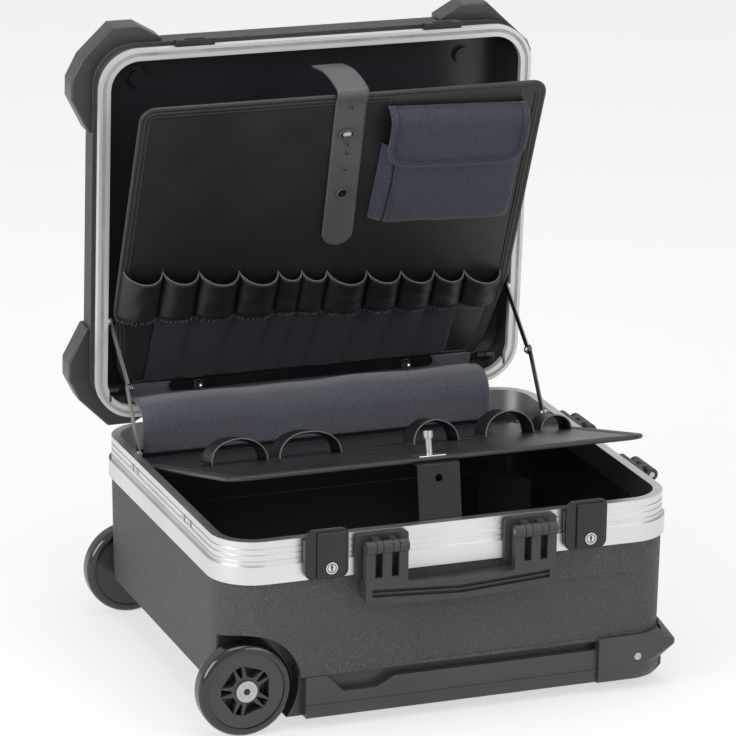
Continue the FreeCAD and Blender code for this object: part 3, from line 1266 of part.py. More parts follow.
def make_upper_board():
    part = body("upper_board")
    outer = [
        (-upper_foot, zero), (upper_foot, zero), (upper_taper_half, upper_taper_mid),
        (board_half, upper_taper_top), (board_half, upper_length), (-board_half, upper_length),
        (-board_half, upper_taper_top), (-upper_taper_half, upper_taper_mid),
    ]
    add(part, "XY", -(board_thickness / 2), board_thickness / 2, outline(outer))
    soften(part, "Fillet", board_corner, lambda edge: along(edge, 2))
    lug_low = upper_lug_side - pivot_pin_reach
    lug_high = upper_lug_side
    for low, high in ((lug_low, lug_high), (-lug_high, -lug_low)):
        inner = upper_foot - board_corner * 2
        strip = (inner, high) if low.value > 0 else (low, -inner)
        add(part, "YZ", low, high, disc(zero, zero, lug_thickness / 2))
        add(part, "XY", -(board_thickness / 2), board_thickness / 2,
            box(strip[0], -(lug_thickness / 4), strip[1], lug_thickness / 4))
    cut(part, "YZ", lug_low - overrun, lug_high + overrun, disc(zero, zero, pivot_pin_radius + pin_gap))
    cut(part, "YZ", -(lug_high + overrun), -(lug_low - overrun), disc(zero, zero, pivot_pin_radius + pin_gap))
    part.Placement = upper_pose
    pins = body("board_pins")
    for low, high in ((lug_low, upper_pin_side), (-upper_pin_side, -lug_low)):
        add(pins, "YZ", low, high, disc(zero, zero, pivot_pin_radius))
    pins.Placement = upper_pose


def sleeve(left, right, base, rise_share, low_left, low_right, high_left, high_right, scallop):
    """One bowed sleeve of cloth between two seams, open above and below."""
    wide = right - left
    rise = wide * rise_share
    thick = cloth.value
    middle = (left + right) / 2
    reach = case_width.value
    outer = arc(Vector(left, 0, base), Vector(middle, 0, base + rise), Vector(right, 0, base))
    inner = arc(Vector(left + thick, 0, base), Vector(middle, 0, base + rise - thick), Vector(right - thick, 0, base))
    feet = [line(Vector(left, 0, base), Vector(left + thick, 0, base)),
            line(Vector(right - thick, 0, base), Vector(right, 0, base))]
    tube = Part.Face(wire_of([outer, inner] + feet)).extrude(Vector(0, reach, 0))
    top = arc(Vector(left, high_left, 0), Vector(middle, (high_left + high_right) / 2 - scallop, 0),
              Vector(right, high_right, 0))
    sides = Part.makePolygon([Vector(right, high_right, 0), Vector(right, low_right, 0),
                              Vector(left, low_left, 0), Vector(left, high_left, 0)])
    limit = Part.Face(wire_of([top] + sides.Edges)).extrude(Vector(0, 0, reach))
    return tube.common(limit)


def make_pockets():
    base = board_thickness.value / 2
    half_board = board_half.value
    edges = [share * half_board for share in pocket_edge_shares]

    def top(x):
        return pocket_top.value - pocket_slant.value * x / half_board

    def foot(x):
        return pocket_bottom.value - pocket_foot_slant.value * x / half_board

    first = []
    second = []
    for left, right in zip(edges, edges[1:]):
        first.append(sleeve(left, right, base, pocket_rise_share, foot(left), foot(right), top(left), top(right),
                            pocket_scallop.value))
        side = max(abs(left), abs(right))
        if side < upper_foot.value - board_corner.value * half:
            lap = lower_pocket_lap.value
            low = lower_pocket_bottom.value
            second.append(sleeve(left, right, base, lower_pocket_rise_share, low, low, foot(left) - lap,
                                 foot(right) - lap, -pocket_scallop.value * half))
    seam = cloth.value * seam_share
    side = seam_width.value / 2

    def seams(places, low, high):
        """Flat strips of cloth where the sleeves are sewn down."""
        strips = []
        for x in places:
            left = max(x - side, places[0])
            right = min(x + side, places[-1])
            strips.append(block(left, low(x), base, right, high(x), base + seam))
        return strips
    row = first[0].multiFuse(first[1:] + seams(edges, foot, lambda x: top(x) - pocket_scallop.value))
    row.translate(Vector(0, 0, touch_gap.value))
    solid("pocket_row", row.removeSplitter(), upper_pose)
    inner_edges = [edge for edge in edges if abs(edge) < upper_foot.value - board_corner.value * half]
    low = lower_pocket_bottom.value
    lap = lower_pocket_lap.value
    lower = second[0].multiFuse(second[1:] + seams(inner_edges, lambda x: low, lambda x: foot(x) - lap * 2))
    lower.translate(Vector(0, 0, touch_gap.value))
    solid("lower_pocket_row", lower.removeSplitter(), upper_pose)


def make_pouch():
    """A pouch with a gusset, open at its mouth, and the flap that covers it."""
    base = board_thickness + touch_gap * 2
    low_n = base / 2 + touch_gap
    part = body("pouch_body")
    depth = low_n + pouch_depth
    add(part, "XY", low_n, depth, box(pouch_left, pouch_bottom, pouch_right, pouch_mouth))
    soften(part, "Fillet", pouch_depth * pouch_round_share,
           lambda edge: near(edge, 2, depth) and edge.CenterOfMass.y < pouch_mouth.value - pin_gap.value)
    cut(part, "XY", low_n + cloth, depth - cloth,
        box(pouch_left + cloth, pouch_bottom + pouch_depth / 2, pouch_right - cloth, pouch_mouth + overrun))
    part.Placement = upper_pose
    flap = body("pouch_flap")
    thick = pouch_flap_thickness
    top = pouch_top + pouch_flap_rise
    out = depth + side_gap + thick
    start = low_n + side_gap * 2
    bottom = top - pouch_flap_length
    profile = [
        (top, start), (top, start + thick), (pouch_top - thick, out), (bottom, out), (bottom, out - thick),
        (pouch_top - thick * 2, out - thick), (top - thick, start),
    ]
    add(flap, "YZ", pouch_left - pouch_flap_margin, pouch_right + pouch_flap_margin, outline(profile))
    flap.Placement = upper_pose


def make_clamp_bar():
    part = body("clamp_bar")
    front = board_thickness / 2 + felt_thickness + side_gap * 2
    high = bar_rise + bar_height / 2
    low = bar_rise - bar_height / 2
    add(part, "XY", front, front + bar_thickness, box(-bar_half, low, bar_half, high))
    soften(part, "Fillet", bar_height * bar_round_share, lambda edge: along(edge, 2))
    foot = board_thickness / 2 + touch_gap
    spacers = [disc(button_place * side, high - bar_height / 5, stud_radius / 2) for side in (-1, 1)]
    add(part, "XY", foot, front + touch_gap, *spacers)
    part.Placement = upper_pose
    for name, side in (("left", -1), ("right", 1)):
        turn = body("turn_button_" + name)
        centre = button_place * side
        seat = front + bar_thickness + touch_gap
        add(turn, "XY", seat, seat + turn_base, disc(centre, bar_rise, turn_radius))
        add(turn, "XY", seat + turn_base - touch_gap, seat + turn_base + wing_height,
            box(centre - wing_width / 2, bar_rise - wing_length / 2, centre + wing_width / 2,
                bar_rise + wing_length / 2))
        soften(turn, "Fillet", wing_height * wing_round_share,
               lambda edge: along(edge, 0) and near(edge, 2, seat + turn_base + wing_height))
        turn.Placement = upper_pose


def make_strap():
    """The strap from the lid's inner edge over the board's top, down to its end on the board."""
    board_top = upper_pose.multVec(Vector(0, upper_length.value + side_gap.value * 2, 0))
    low_n = board_thickness.value / 2 + side_gap.value
    end = upper_pose.multVec(Vector(0, strap_end.value, low_n))
    turn_low = upper_pose.multVec(Vector(0, upper_length.value, low_n))
    closed_front = -(half_depth.value - lid_band_width.value) + side_gap.value
    root_z = neck_bottom.value + neck_height.value * root_share
    root = lid_pose.multVec(Vector(0, closed_front, root_z))
    root_up = lid_pose.multVec(Vector(0, closed_front, root_z - strap_thickness.value * root_lift_share))
    path = [root, root_up, board_top + Vector(0, strap_thickness.value * 2, strap_thickness.value), turn_low, end]
    thick = strap_thickness.value
    pieces = []
    left = strap_shift.value - strap_width.value / 2
    for a, b in zip(path, path[1:]):
        way = b - a
        way.normalize()
        up = Vector(1, 0, 0).cross(way) * -thick
        face = polygon_face([Vector(left, p.y, p.z) for p in (a, b, b + up, a + up)])
        pieces.append(face.extrude(Vector(strap_width.value, 0, 0)))
    for a in path[1:-1]:
        joint = rod(Vector(left, a.y, a.z), Vector(1, 0, 0), thick, strap_width.value)
        pieces.append(joint)
    shape = pieces[0].multiFuse(pieces[1:])
    stud_at = upper_pose.multVec(Vector(strap_shift.value, strap_stud_place.value, low_n - overrun.value))
    normal = upper_pose.Rotation.multVec(Vector(0, 0, 1))
    shape = shape.cut(rod(stud_at, normal, stud_radius.value / 2 + side_gap.value, thick * 3 + overrun.value))
    board_room = block(-case_width.value, 0, -case_width.value, case_width.value, upper_length.value, low_n)
    board_room.Placement = upper_pose
    solid("strap", shape.cut(board_room).removeSplitter())
    stud = body("strap_stud")
    foot = board_thickness / 2 + touch_gap
    add(stud, "XY", foot, foot + strap_thickness + side_gap * 3, disc(strap_shift, strap_stud_place, stud_radius / 2))
    low = foot + strap_thickness + side_gap * 3
    add(stud, "XY", low, low + stud_height * stud_head_share, disc(strap_shift, strap_stud_place, stud_radius))
    add(stud, "XY", low, low + stud_height, box(
        strap_shift - stud_radius, strap_stud_place - wing_width / 2,
        strap_shift + stud_radius, strap_stud_place + wing_width / 2))
    stud.Placement = upper_pose


def make_lower_board():
    part = body("lower_board")
    add(part, "XY", -(board_thickness / 2), board_thickness / 2, outline([
        (-board_half, -lower_length), (board_half, -lower_length), (board_half, -(lug_length / 2)),
        (board_half - lug_length, zero), (-(board_half - lug_length), zero), (-board_half, -(lug_length / 2))]))
    soften(part, "Fillet", board_corner * lower_corner_share, lambda edge: along(edge, 2))
    wall = half_width - band_width
    lug_high = board_half
    lug_low = lug_high - pivot_pin_reach
    pivot_run = lug_length + board_corner
    for low, high in ((lug_low, lug_high), (-lug_high, -lug_low)):
        add(part, "YZ", low, high, disc(-pivot_run, zero, lug_thickness / 2))
    bore = disc(-pivot_run, zero, pivot_pin_radius + pin_gap)
    cut(part, "YZ", lug_low, lug_high + overrun, bore)
    cut(part, "YZ", -(lug_high + overrun), -lug_low, bore)
    part.Placement = lower_pose
    pins = body("lower_board_pins")
    for low, high in ((lug_low, wall - touch_gap), (-(wall - touch_gap), -lug_low)):
        add(pins, "YZ", low, high, disc(-pivot_run, zero, pivot_pin_radius))
    pins.Placement = lower_pose


def make_tool_loops():
    """A row of arched loops along the lower board."""
    base = board_thickness.value / 2 + touch_gap.value
    middle = -lower_length.value * loop_row_share
    width = loop_width.value
    pieces = []
    for left_share, right_share in loop_shares:
        left, right = left_share * board_half.value, right_share * board_half.value
        rise = min(loop_rise.value, (right - left) * half)
        centre = (left + right) / 2
        thick = loop_cloth.value
        outer = arc(Vector(left, middle, base), Vector(centre, middle, base + rise), Vector(right, middle, base))
        inner = arc(Vector(left + thick, middle, base), Vector(centre, middle, base + rise - thick),
                    Vector(right - thick, middle, base))
        feet = [line(Vector(left, middle, base), Vector(left + thick, middle, base)),
                line(Vector(right - thick, middle, base), Vector(right, middle, base))]
        pieces.append(Part.Face(wire_of([outer, inner] + feet)).extrude(Vector(0, width, 0)))
    strip_left, strip_right = loop_shares[0][0] * board_half.value, loop_shares[-1][1] * board_half.value
    strip = block(strip_left, middle, base, strip_right, middle + width, base + loop_cloth.value * half)
    solid("tool_loops", strip.multiFuse(pieces).removeSplitter(), lower_pose)


def make_post_and_prop():
    """The post with its plate and eye on the board's front edge, and the plate that hangs to the rim."""
    part = body("pallet_post")
    base = board_thickness / 2 + touch_gap
    y = -(lower_length - post_inset)
    plate_half = post_plate / 2
    add(part, "XY", base, base + prop_thickness, box(-prop_shift - plate_half, y - post_inset * post_plate_share,
                                                     -prop_shift + plate_half, y + post_inset))
    add(part, "XY", base + prop_thickness - touch_gap, base + post_height, disc(-prop_shift, y, post_radius))
    head = disc(-prop_shift, y, post_radius * post_head_width_share)
    add(part, "XY", base + post_height * post_head_share, base + post_height, head)
    part.Placement = lower_pose
    prop = body("prop_plate")
    slope = math.radians(lower_slope.value)
    edge_y = lower_pivot[0].value - lower_length.value * math.cos(slope)
    drop = board_thickness.value / 2 / math.cos(slope) + touch_gap.value * 2
    edge_z = lower_pivot[1].value + lower_length.value * math.sin(slope) - drop
    front = half_depth.value - band_width.value - prop_front_gap.value
    lean = prop_lean.value
    thick = prop_thickness.value
    low_z = rim_height.value - prop_lap.value
    back_y = edge_y + prop_flange.value
    back_z = edge_z - prop_flange.value * math.tan(slope)
    places = [
        (-front, low_z), (-front + thick, low_z), (-front + lean + thick, edge_z - thick),
        (edge_y, edge_z - thick), (back_y, back_z - thick), (back_y, back_z), (edge_y, edge_z),
        (-front + lean, edge_z),
    ]
    add(prop, "YZ", -prop_shift - prop_width / 2, -prop_shift + prop_width / 2,
        outline([(fixed(y), fixed(z)) for y, z in places]))
    cut(prop, "XZ", -fixed(front + thick), -fixed(front - lean - thick * 2),
        disc(-prop_shift, fixed(edge_z - (edge_z - low_z) * prop_hole_share), stud_radius * prop_hole_radius_share))


def make_felt():
    """The felt panel from the lower board over the rim and under the clamp bar."""
    thick = felt_thickness.value
    face = board_thickness.value / 2 + side_gap.value
    back = half_depth.value - band_width.value - side_gap.value
    front = back - thick
    low = lower_pivot_height.value + board_thickness.value
    shoulder = rim_height.value + side_gap.value * 2
    crown_y = half_depth.value + felt_bulge.value
    crown = rim_height.value + felt_crown.value
    slope = (crown - shoulder) * felt_slope_share
    bend = -felt_tuck.value
    inner_bend = bend + thick * felt_bend_share

    def at(y, z):
        return Vector(-felt_half.value, y, z)

    def on_board(up, out):
        place = upper_pose.multVec(Vector(0, up, out))
        return at(place.y, place.z)
    edges = [
        line(at(back, low), at(back, shoulder)),
        arc(at(back, shoulder), at(back + felt_bulge.value * felt_back_share, shoulder + slope), at(crown_y, crown)),
        line(at(crown_y, crown), on_board(bend, face)), line(on_board(bend, face), on_board(bar_rise.value, face)),
        line(on_board(bar_rise.value, face), on_board(bar_rise.value, face + thick)),
        line(on_board(bar_rise.value, face + thick), on_board(inner_bend, face + thick)),
        line(on_board(inner_bend, face + thick), at(crown_y, crown + thick)),
        arc(at(crown_y, crown + thick), at(front + felt_bulge.value * felt_front_share, shoulder + slope + thick),
            at(front, shoulder)),
        line(at(front, shoulder), at(front, low)), line(at(front, low), at(back, low)),
    ]
    solid("felt_panel", Part.Face(wire_of(edges)).extrude(Vector(felt_half.value * 2, 0, 0)))


make_base_shell()
make_base_band()
make_base_rivets()
make_bottom_tray()
make_feet()
make_corner_cap("corner_cap_front", -1)
make_corner_cap("corner_cap_rear", 1)
make_cap_screws()
make_lock("left", -1)
make_lock("right", 1)
handle_parts("front_brackets", "front_handle", Placement())
side_shift = half_width.value - half_depth.value
side_pose = Placement(Vector(side_shift, 0, 0), Rotation(Vector(0, 0, 1), 90))
handle_parts("side_brackets", "side_handle", side_pose)
make_handle_pins()
make_wheel("front", -1)
make_wheel("rear", 1)
make_axles()
make_trolley()
make_lid_shell()
make_lid_band()
make_lid_caps("lid_cap_front", -1)
make_lid_caps("lid_cap_rear", 1)
make_catches()
make_hinges()
make_stays()
make_upper_board()
make_pockets()
make_pouch()
make_clamp_bar()
make_strap()
make_lower_board()
make_tool_loops()
make_post_and_prop()
make_felt()

doc.recompute()
problems = []
for item in doc.Objects:
    if "Invalid" in item.State or "Error" in item.State:
        problems.append("%s: %s" % (item.Label, item.State))
for item in made:
    if item.Shape.isNull() or not item.Shape.isValid() or item.Shape.Volume <= 0:
        problems.append("%s: bad shape" % item.Label)
if problems:
    raise ValueError("; ".join(problems))

os.makedirs("parts", exist_ok=True)
for item in made:
    item.Shape.exportStep(os.path.join("parts", item.Label + ".step"))
    bounds = item.Shape.BoundBox
    print("%-22s solids %d  x %7.1f %7.1f  y %7.1f %7.1f  z %7.1f %7.1f" % (
        item.Label, len(item.Shape.Solids), bounds.XMin, bounds.XMax, bounds.YMin, bounds.YMax,
        bounds.ZMin, bounds.ZMax))
print("%d sub-parts" % len(made))
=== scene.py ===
import json
import math

import bmesh
import bpy
from mathutils import Matrix, Vector, noise


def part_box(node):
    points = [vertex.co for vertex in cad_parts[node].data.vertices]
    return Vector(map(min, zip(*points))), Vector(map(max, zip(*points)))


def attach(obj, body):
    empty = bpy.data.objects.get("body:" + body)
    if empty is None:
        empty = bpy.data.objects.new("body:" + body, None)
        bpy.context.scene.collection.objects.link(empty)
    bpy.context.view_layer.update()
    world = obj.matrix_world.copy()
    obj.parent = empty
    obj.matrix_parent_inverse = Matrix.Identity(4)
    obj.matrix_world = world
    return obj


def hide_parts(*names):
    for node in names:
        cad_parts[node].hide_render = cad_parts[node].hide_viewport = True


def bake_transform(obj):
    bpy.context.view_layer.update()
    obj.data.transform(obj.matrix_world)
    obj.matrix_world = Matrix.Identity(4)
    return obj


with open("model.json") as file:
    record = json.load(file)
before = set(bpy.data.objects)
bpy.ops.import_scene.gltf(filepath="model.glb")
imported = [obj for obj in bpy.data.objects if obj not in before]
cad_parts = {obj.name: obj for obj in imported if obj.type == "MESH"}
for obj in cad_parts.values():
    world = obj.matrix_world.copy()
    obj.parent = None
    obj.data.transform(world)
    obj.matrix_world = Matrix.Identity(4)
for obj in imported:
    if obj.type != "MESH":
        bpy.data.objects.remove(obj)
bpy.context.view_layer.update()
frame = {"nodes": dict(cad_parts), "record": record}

bl_info = {
    "name": "Wheeled Tool Case",
    "version": (1, 0, 0),
    "blender": (4, 5, 0),
    "location": "3D View > Sidebar > Tool Case",
    "description": "Dresses the packed tool case with its finishes, cloth parts, stitching and studio",
    "category": "Object",
}

bodies_of = {node: body for body, nodes in frame["record"]["behaviour"]["bodies"].items()
             for node in nodes}
slots_of = {part["node"]: part["material_slot"] for part in frame["record"]["subparts"]}

# How the lid and the two boards stand at rest, in metres
hinge = Vector((0, 0.219, 0.190))
open_angle = math.radians(86.6)
upper_lean = math.radians(22.5)
upper_origin = Vector((0, 0.2625, 0.221))
upper_up = Vector((0, -math.sin(upper_lean), math.cos(upper_lean)))
upper_out = Vector((0, -math.cos(upper_lean), -math.sin(upper_lean)))
lower_slope = math.radians(14.6)
lower_origin = Vector((0, 0.190, 0.161))
lower_back = Vector((0, math.cos(lower_slope), -math.sin(lower_slope)))
lower_out = Vector((0, math.sin(lower_slope), math.cos(lower_slope)))
across, upright = Vector((1, 0, 0)), Vector((0, 0, 1))

# Plans that several pieces follow, in metres
corner_centres = (0.205, 0.165)
board_half, board_top, lower_length = 0.2315, 0.3825, 0.380
upper_outline = [(-0.205, 0.0), (0.205, 0.0), (0.219, 0.033), (board_half, 0.1155),
                 (board_half, board_top), (-board_half, board_top), (-board_half, 0.1155),
                 (-0.219, 0.033)]
lower_outline = [(-board_half, -lower_length), (board_half, -lower_length), (board_half, -0.010),
                 (0.2115, 0.0), (-0.2115, 0.0), (-board_half, -0.010)]
seam_places = [share * board_half for share in
               (-0.985, -0.79, -0.608, -0.405, -0.205, -0.085, 0.044, 0.25, 0.427, 0.602, 0.761, 0.955)]
pouch_left, pouch_droop = 0.055, 0.042
strap_middle, strap_turn, strap_drift = 0.004, 0.3735, 0.055


def on_upper(x, up, out):
    """A place on the upper board, from its pivot, up the board and out from its middle."""
    return upper_origin + across * x + upper_up * up + upper_out * out


def on_pouch(x, up, out):
    """A place on the pouch, which is sewn on a little lower at its right than at its left."""
    return on_upper(x, up - (x - pouch_left) * pouch_droop, out)


def on_lower(x, back, out):
    """A place on the lower board, from its rear edge's line and out from its middle."""
    return lower_origin + across * x + lower_back * back + lower_out * out


class CaseSizes(bpy.types.PropertyGroup):
    binding_width: bpy.props.FloatProperty(
        name="Binding width", description="Width of the bound border on the boards",
        default=0.0125, unit="LENGTH")
    stitch_length: bpy.props.FloatProperty(
        name="Stitch length", description="Length of one stitch", default=0.0030, unit="LENGTH")
    stitch_gap: bpy.props.FloatProperty(
        name="Stitch gap", description="Gap between two stitches", default=0.0012, unit="LENGTH")
    thread_radius: bpy.props.FloatProperty(
        name="Thread radius", description="Radius of the sewing thread", default=0.00036, unit="LENGTH")
    pocket_cloth: bpy.props.FloatProperty(
        name="Pocket cloth", description="Thickness of the pocket cloth", default=0.0014, unit="LENGTH")
    felt_cloth: bpy.props.FloatProperty(
        name="Felt", description="Thickness of the felt panel", default=0.0026, unit="LENGTH")


class CaseColours(bpy.types.PropertyGroup):
    shell: bpy.props.FloatVectorProperty(
        name="Shell", description="Grained outer shell", subtype="COLOR", default=(0.047, 0.048, 0.052))
    liner: bpy.props.FloatVectorProperty(
        name="Liner", description="Smooth inside of the shells", subtype="COLOR",
        default=(0.030, 0.033, 0.038))
    tray: bpy.props.FloatVectorProperty(
        name="Tray and caps", description="Smooth moulded trims", subtype="COLOR",
        default=(0.041, 0.042, 0.045))
    lock: bpy.props.FloatVectorProperty(
        name="Locks", description="Locks, bar and catches", subtype="COLOR",
        default=(0.009, 0.009, 0.010))
    handle: bpy.props.FloatVectorProperty(
        name="Handles", description="Carrying handles", subtype="COLOR", default=(0.032, 0.033, 0.036))
    aluminium: bpy.props.FloatVectorProperty(
        name="Bands", description="Satin aluminium bands", subtype="COLOR", default=(0.72, 0.715, 0.71))
    leather: bpy.props.FloatVectorProperty(
        name="Boards", description="Artificial leather on the boards", subtype="COLOR",
        default=(0.018, 0.0165, 0.018))
    canvas: bpy.props.FloatVectorProperty(
        name="Canvas", description="Navy canvas of pouch and sleeves", subtype="COLOR",
        default=(0.023, 0.026, 0.042))
    felt: bpy.props.FloatVectorProperty(
        name="Felt", description="Felt spine panel", subtype="COLOR", default=(0.050, 0.054, 0.074))
    strap: bpy.props.FloatVectorProperty(
        name="Strap", description="Grey strap", subtype="COLOR", default=(0.086, 0.087, 0.093))


# Shader nodes, and the groups that several finishes share
def fill(tree, socket, value):
    """Link a socket to another one, or set its own value."""
    if isinstance(value, bpy.types.NodeSocket):
        tree.links.new(value, socket)
    else:
        socket.default_value = value


def node(tree, kind, **settings):
    """One shader node with its settings and its numbered inputs filled in."""
    item = tree.nodes.new(kind)
    for name, value in settings.items():
        if name.startswith("in_"):
            fill(tree, item.inputs[int(name[3:])], value)
        else:
            setattr(item, name, value)
    return item


def maths(tree, operation, a, b=0.0):
    return node(tree, "ShaderNodeMath", operation=operation, in_0=a, in_1=b).outputs[0]


def times(tree, a, b):
    return maths(tree, "MULTIPLY", a, b)


def plus(tree, a, b):
    return maths(tree, "ADD", a, b)


def minus(tree, a, b):
    return maths(tree, "SUBTRACT", a, b)


def spread(tree, value, low, high, to_low=0.0, to_high=1.0):
    """A value's range stretched to another range, and clipped there."""
    return node(tree, "ShaderNodeMapRange", in_0=value, in_1=low, in_2=high, in_3=to_low,
                in_4=to_high).outputs[0]


def clouds(tree, place, scale, detail, roughness=0.5):
    return node(tree, "ShaderNodeTexNoise", in_0=place, in_2=scale, in_3=detail,
                in_4=roughness).outputs[0]


def scaled(tree, colour, share):
    return node(tree, "ShaderNodeVectorMath", operation="SCALE", in_0=colour, in_3=share).outputs[0]


def mixed(tree, share, first, second):
    """The first colour, and the second where the share is 1."""
    return node(tree, "ShaderNodeMix", data_type="RGBA", in_0=share, in_6=first, in_7=second).outputs[2]


def solid(colour, factor=1.0):
    return (colour[0] * factor, colour[1] * factor, colour[2] * factor, 1.0)


def group_start(name, made, **values):
    """An empty shader group: coordinates and the values go in, the named masks and colours out."""
    tree = bpy.data.node_groups.new(name, "ShaderNodeTree")
    kinds = {3: "NodeSocketVector", 4: "NodeSocketColor"}
    tree.interface.new_socket(name="Coordinates", in_out="INPUT", socket_type="NodeSocketVector")
    for socket, value in values.items():
        kind = kinds[len(value)] if isinstance(value, tuple) else "NodeSocketFloat"
        item = tree.interface.new_socket(name=socket, in_out="INPUT", socket_type=kind)
        item.default_value = value
    for socket in made:
        kind = "NodeSocketColor" if socket == "Colour" else "NodeSocketFloat"
        tree.interface.new_socket(name=socket, in_out="OUTPUT", socket_type=kind)
    return tree, tree.nodes.new("NodeGroupInput").outputs


def group_end(tree, *results):
    end = tree.nodes.new("NodeGroupOutput")
    for socket, result in zip(end.inputs, results):
        tree.links.new(result, socket)
    return tree


def grain_group():
    """Moulded grain: small round bumps, bright flecks on them and a mottle between them."""
    tree, given = group_start("Moulded grain", ("Height", "Flecks", "Mottle"), Size=900.0)
    place, size = given[0], given[1]
    cells = node(tree, "ShaderNodeTexVoronoi", in_0=place, in_2=size).outputs[0]
    fine = clouds(tree, place, times(tree, size, 1.7), 2.0)
    dots = clouds(tree, place, times(tree, size, 1.15), 1.0)
    patches = clouds(tree, place, times(tree, size, 0.9), 3.0)
    return group_end(tree, plus(tree, times(tree, cells, -0.7), fine),
                     spread(tree, dots, 0.56, 0.70), spread(tree, patches, 0.36, 0.64))


def tone_group():
    """Uneven tone: a colour that drifts lighter and darker, and the drift itself for the gloss."""
    tree, given = group_start("Uneven tone", ("Colour", "Drift"), Colour=(0.1, 0.1, 0.1, 1.0),
                              Spread=0.2, Size=14.0)
    drift = spread(tree, clouds(tree, given[0], given[3], 4.0), 0.3, 0.7)
    share = spread(tree, drift, 0.0, 1.0, minus(tree, 1.0, given[2]), plus(tree, 1.0, given[2]))
    return group_end(tree, scaled(tree, given[1], share), drift)


def weave_group():
    """Twill weave: diagonal ribs crossed by finer threads, and the lint on them."""
    tree, given = group_start("Twill weave", ("Height", "Threads"), Size=220.0)
    ribs, warp, weft = (
        node(tree, "ShaderNodeTexWave", bands_direction=way, in_0=given[0], in_1=given[1],
             in_2=bend, in_3=detail).outputs[1]
        for way, bend, detail in (("DIAGONAL", 2.5, 2.0), ("X", 1.5, 1.0), ("Z", 1.5, 1.0)))
    both = plus(tree, times(tree, warp, weft), times(tree, ribs, 0.5))
    lint = clouds(tree, given[0], times(tree, given[1], 4.0), 3.0)
    return group_end(tree, both, times(tree, both, spread(tree, lint, 0.35, 0.7)))


def pebble_group():
    """Leather grain: soft cells with crease lines between them, and a mask of those lines for painted shade.
    """
    tree, given = group_start("Leather pebbles", ("Height", "Crease shade"), Size=700.0)
    cells = node(tree, "ShaderNodeTexVoronoi", feature="SMOOTH_F1", in_0=given[0],
                 in_2=given[1]).outputs[0]
    # Second output: where the crease lines lie, used to paint shade into them
    return group_end(tree, minus(tree, 1.0, cells), spread(tree, cells, 0.35, 0.75))


def brush_group():
    """Brushing: fine streaks drawn out in one direction."""
    tree, given = group_start("Brushing", ("Streaks",), Size=60.0, Stretch=(1.0, 1.0, 40.0))
    drawn = node(tree, "ShaderNodeVectorMath", operation="MULTIPLY", in_0=given[0], in_1=given[2])
    return group_end(tree, spread(tree, clouds(tree, drawn.outputs[0], given[1], 5.0), 0.3, 0.7))


def scuff_group():
    """Scuffs and dust: sparse pale marks of several sizes."""
    tree, given = group_start("Scuffs", ("Marks",), Size=90.0, Share=0.3)
    edge = minus(tree, 0.76, times(tree, given[2], 0.2))
    return group_end(tree, spread(tree, clouds(tree, given[0], given[1], 8.0, 0.7), edge, 0.82))


def corner_reach(tree, parts):
    """How far a place lies past the centres of the case's round corners."""
    squares = []
    for i, centre in enumerate(corner_centres):
        past = maths(tree, "MAXIMUM", minus(tree, maths(tree, "ABSOLUTE", parts[i]), centre))
        squares.append(times(tree, past, past))
    return maths(tree, "SQRT", plus(tree, *squares))


def inside_group():
    """A mask of a shell's inner faces: inside the rounded plan and between two heights."""
    tree, given = group_start("Inside of a shell", ("Mask",), Radius=0.0405, Low=0.048, High=0.3)
    parts = node(tree, "ShaderNodeSeparateXYZ", in_0=given[0]).outputs
    inner = maths(tree, "LESS_THAN", corner_reach(tree, parts), given[1])
    above = maths(tree, "GREATER_THAN", parts[2], given[2])
    below = maths(tree, "LESS_THAN", parts[2], given[3])
    return group_end(tree, times(tree, times(tree, inner, above), below))


def ridge_group():
    """Fine ridges that follow the case's rounded outline, one beside the other."""
    tree, given = group_start("Ridges along the rim", ("Height",), Pitch=0.0031)
    parts = node(tree, "ShaderNodeSeparateXYZ", in_0=given[0]).outputs
    turn = times(tree, maths(tree, "DIVIDE", corner_reach(tree, parts), given[1]), 2 * math.pi)
    return group_end(tree, spread(tree, maths(tree, "SINE", turn), -1.0, 0.2))


groups, finishes = {}, {}


class Finish:
    """A material with only its Principled shader, its coordinates and its colour's uneven tone."""

    def __init__(self, name, colour, uneven, patch):
        self.material = bpy.data.materials.new(name)
        self.material.use_nodes = True
        self.tree = self.material.node_tree
        self.place = self.tree.nodes.new("ShaderNodeTexCoord").outputs["Object"]
        self.colour = colour
        self.tone, self.drift = self.group("tone", Colour=solid(colour), Spread=uneven, Size=patch)[:2]

    def group(self, key, **values):
        """The outputs of a shared group, placed here with its own values."""
        item = self.tree.nodes.new("ShaderNodeGroup")
        item.node_tree = groups[key]
        for name, value in {"Coordinates": self.place, **values}.items():
            fill(self.tree, item.inputs[name], value)
        return item.outputs

    def marks(self, size, share, strength):
        return times(self.tree, self.group("scuffs", Size=size, Share=share)[0], strength)

    def mottled(self, mottle, low, high):
        return scaled(self.tree, self.tone, spread(self.tree, mottle, 0.0, 1.0, low, high))

    def over(self, under, share, factor):
        """A colour, and the finish's own colour times a factor where the share is 1."""
        return mixed(self.tree, share, under, solid(self.colour, factor))

    def gloss(self, low, high):
        return spread(self.tree, self.drift, 0.0, 1.0, low, high)

    def done(self, colour, rough, height, strength, depth, fixed=()):
        """Link the last colour, roughness and relief, and set what is the same all over."""
        sockets = self.tree.nodes["Principled BSDF"].inputs
        relief = node(self.tree, "ShaderNodeBump")
        relief.inputs["Strength"].default_value = strength
        relief.inputs["Distance"].default_value = depth
        fill(self.tree, relief.inputs["Height"], height)
        for name, value in (("Base Color", colour), ("Roughness", rough),
                            ("Normal", relief.outputs[0]), *fixed):
            fill(self.tree, sockets[name], value)
        return self.material


def closed_place(made):
    """Coordinates of the lid as if it were closed."""
    shift = hinge - Matrix.Rotation(open_angle, 3, "X") @ hinge
    return node(made.tree, "ShaderNodeMapping", in_0=made.place, in_1=shift,
                in_2=(open_angle, 0.0, 0.0)).outputs[0]


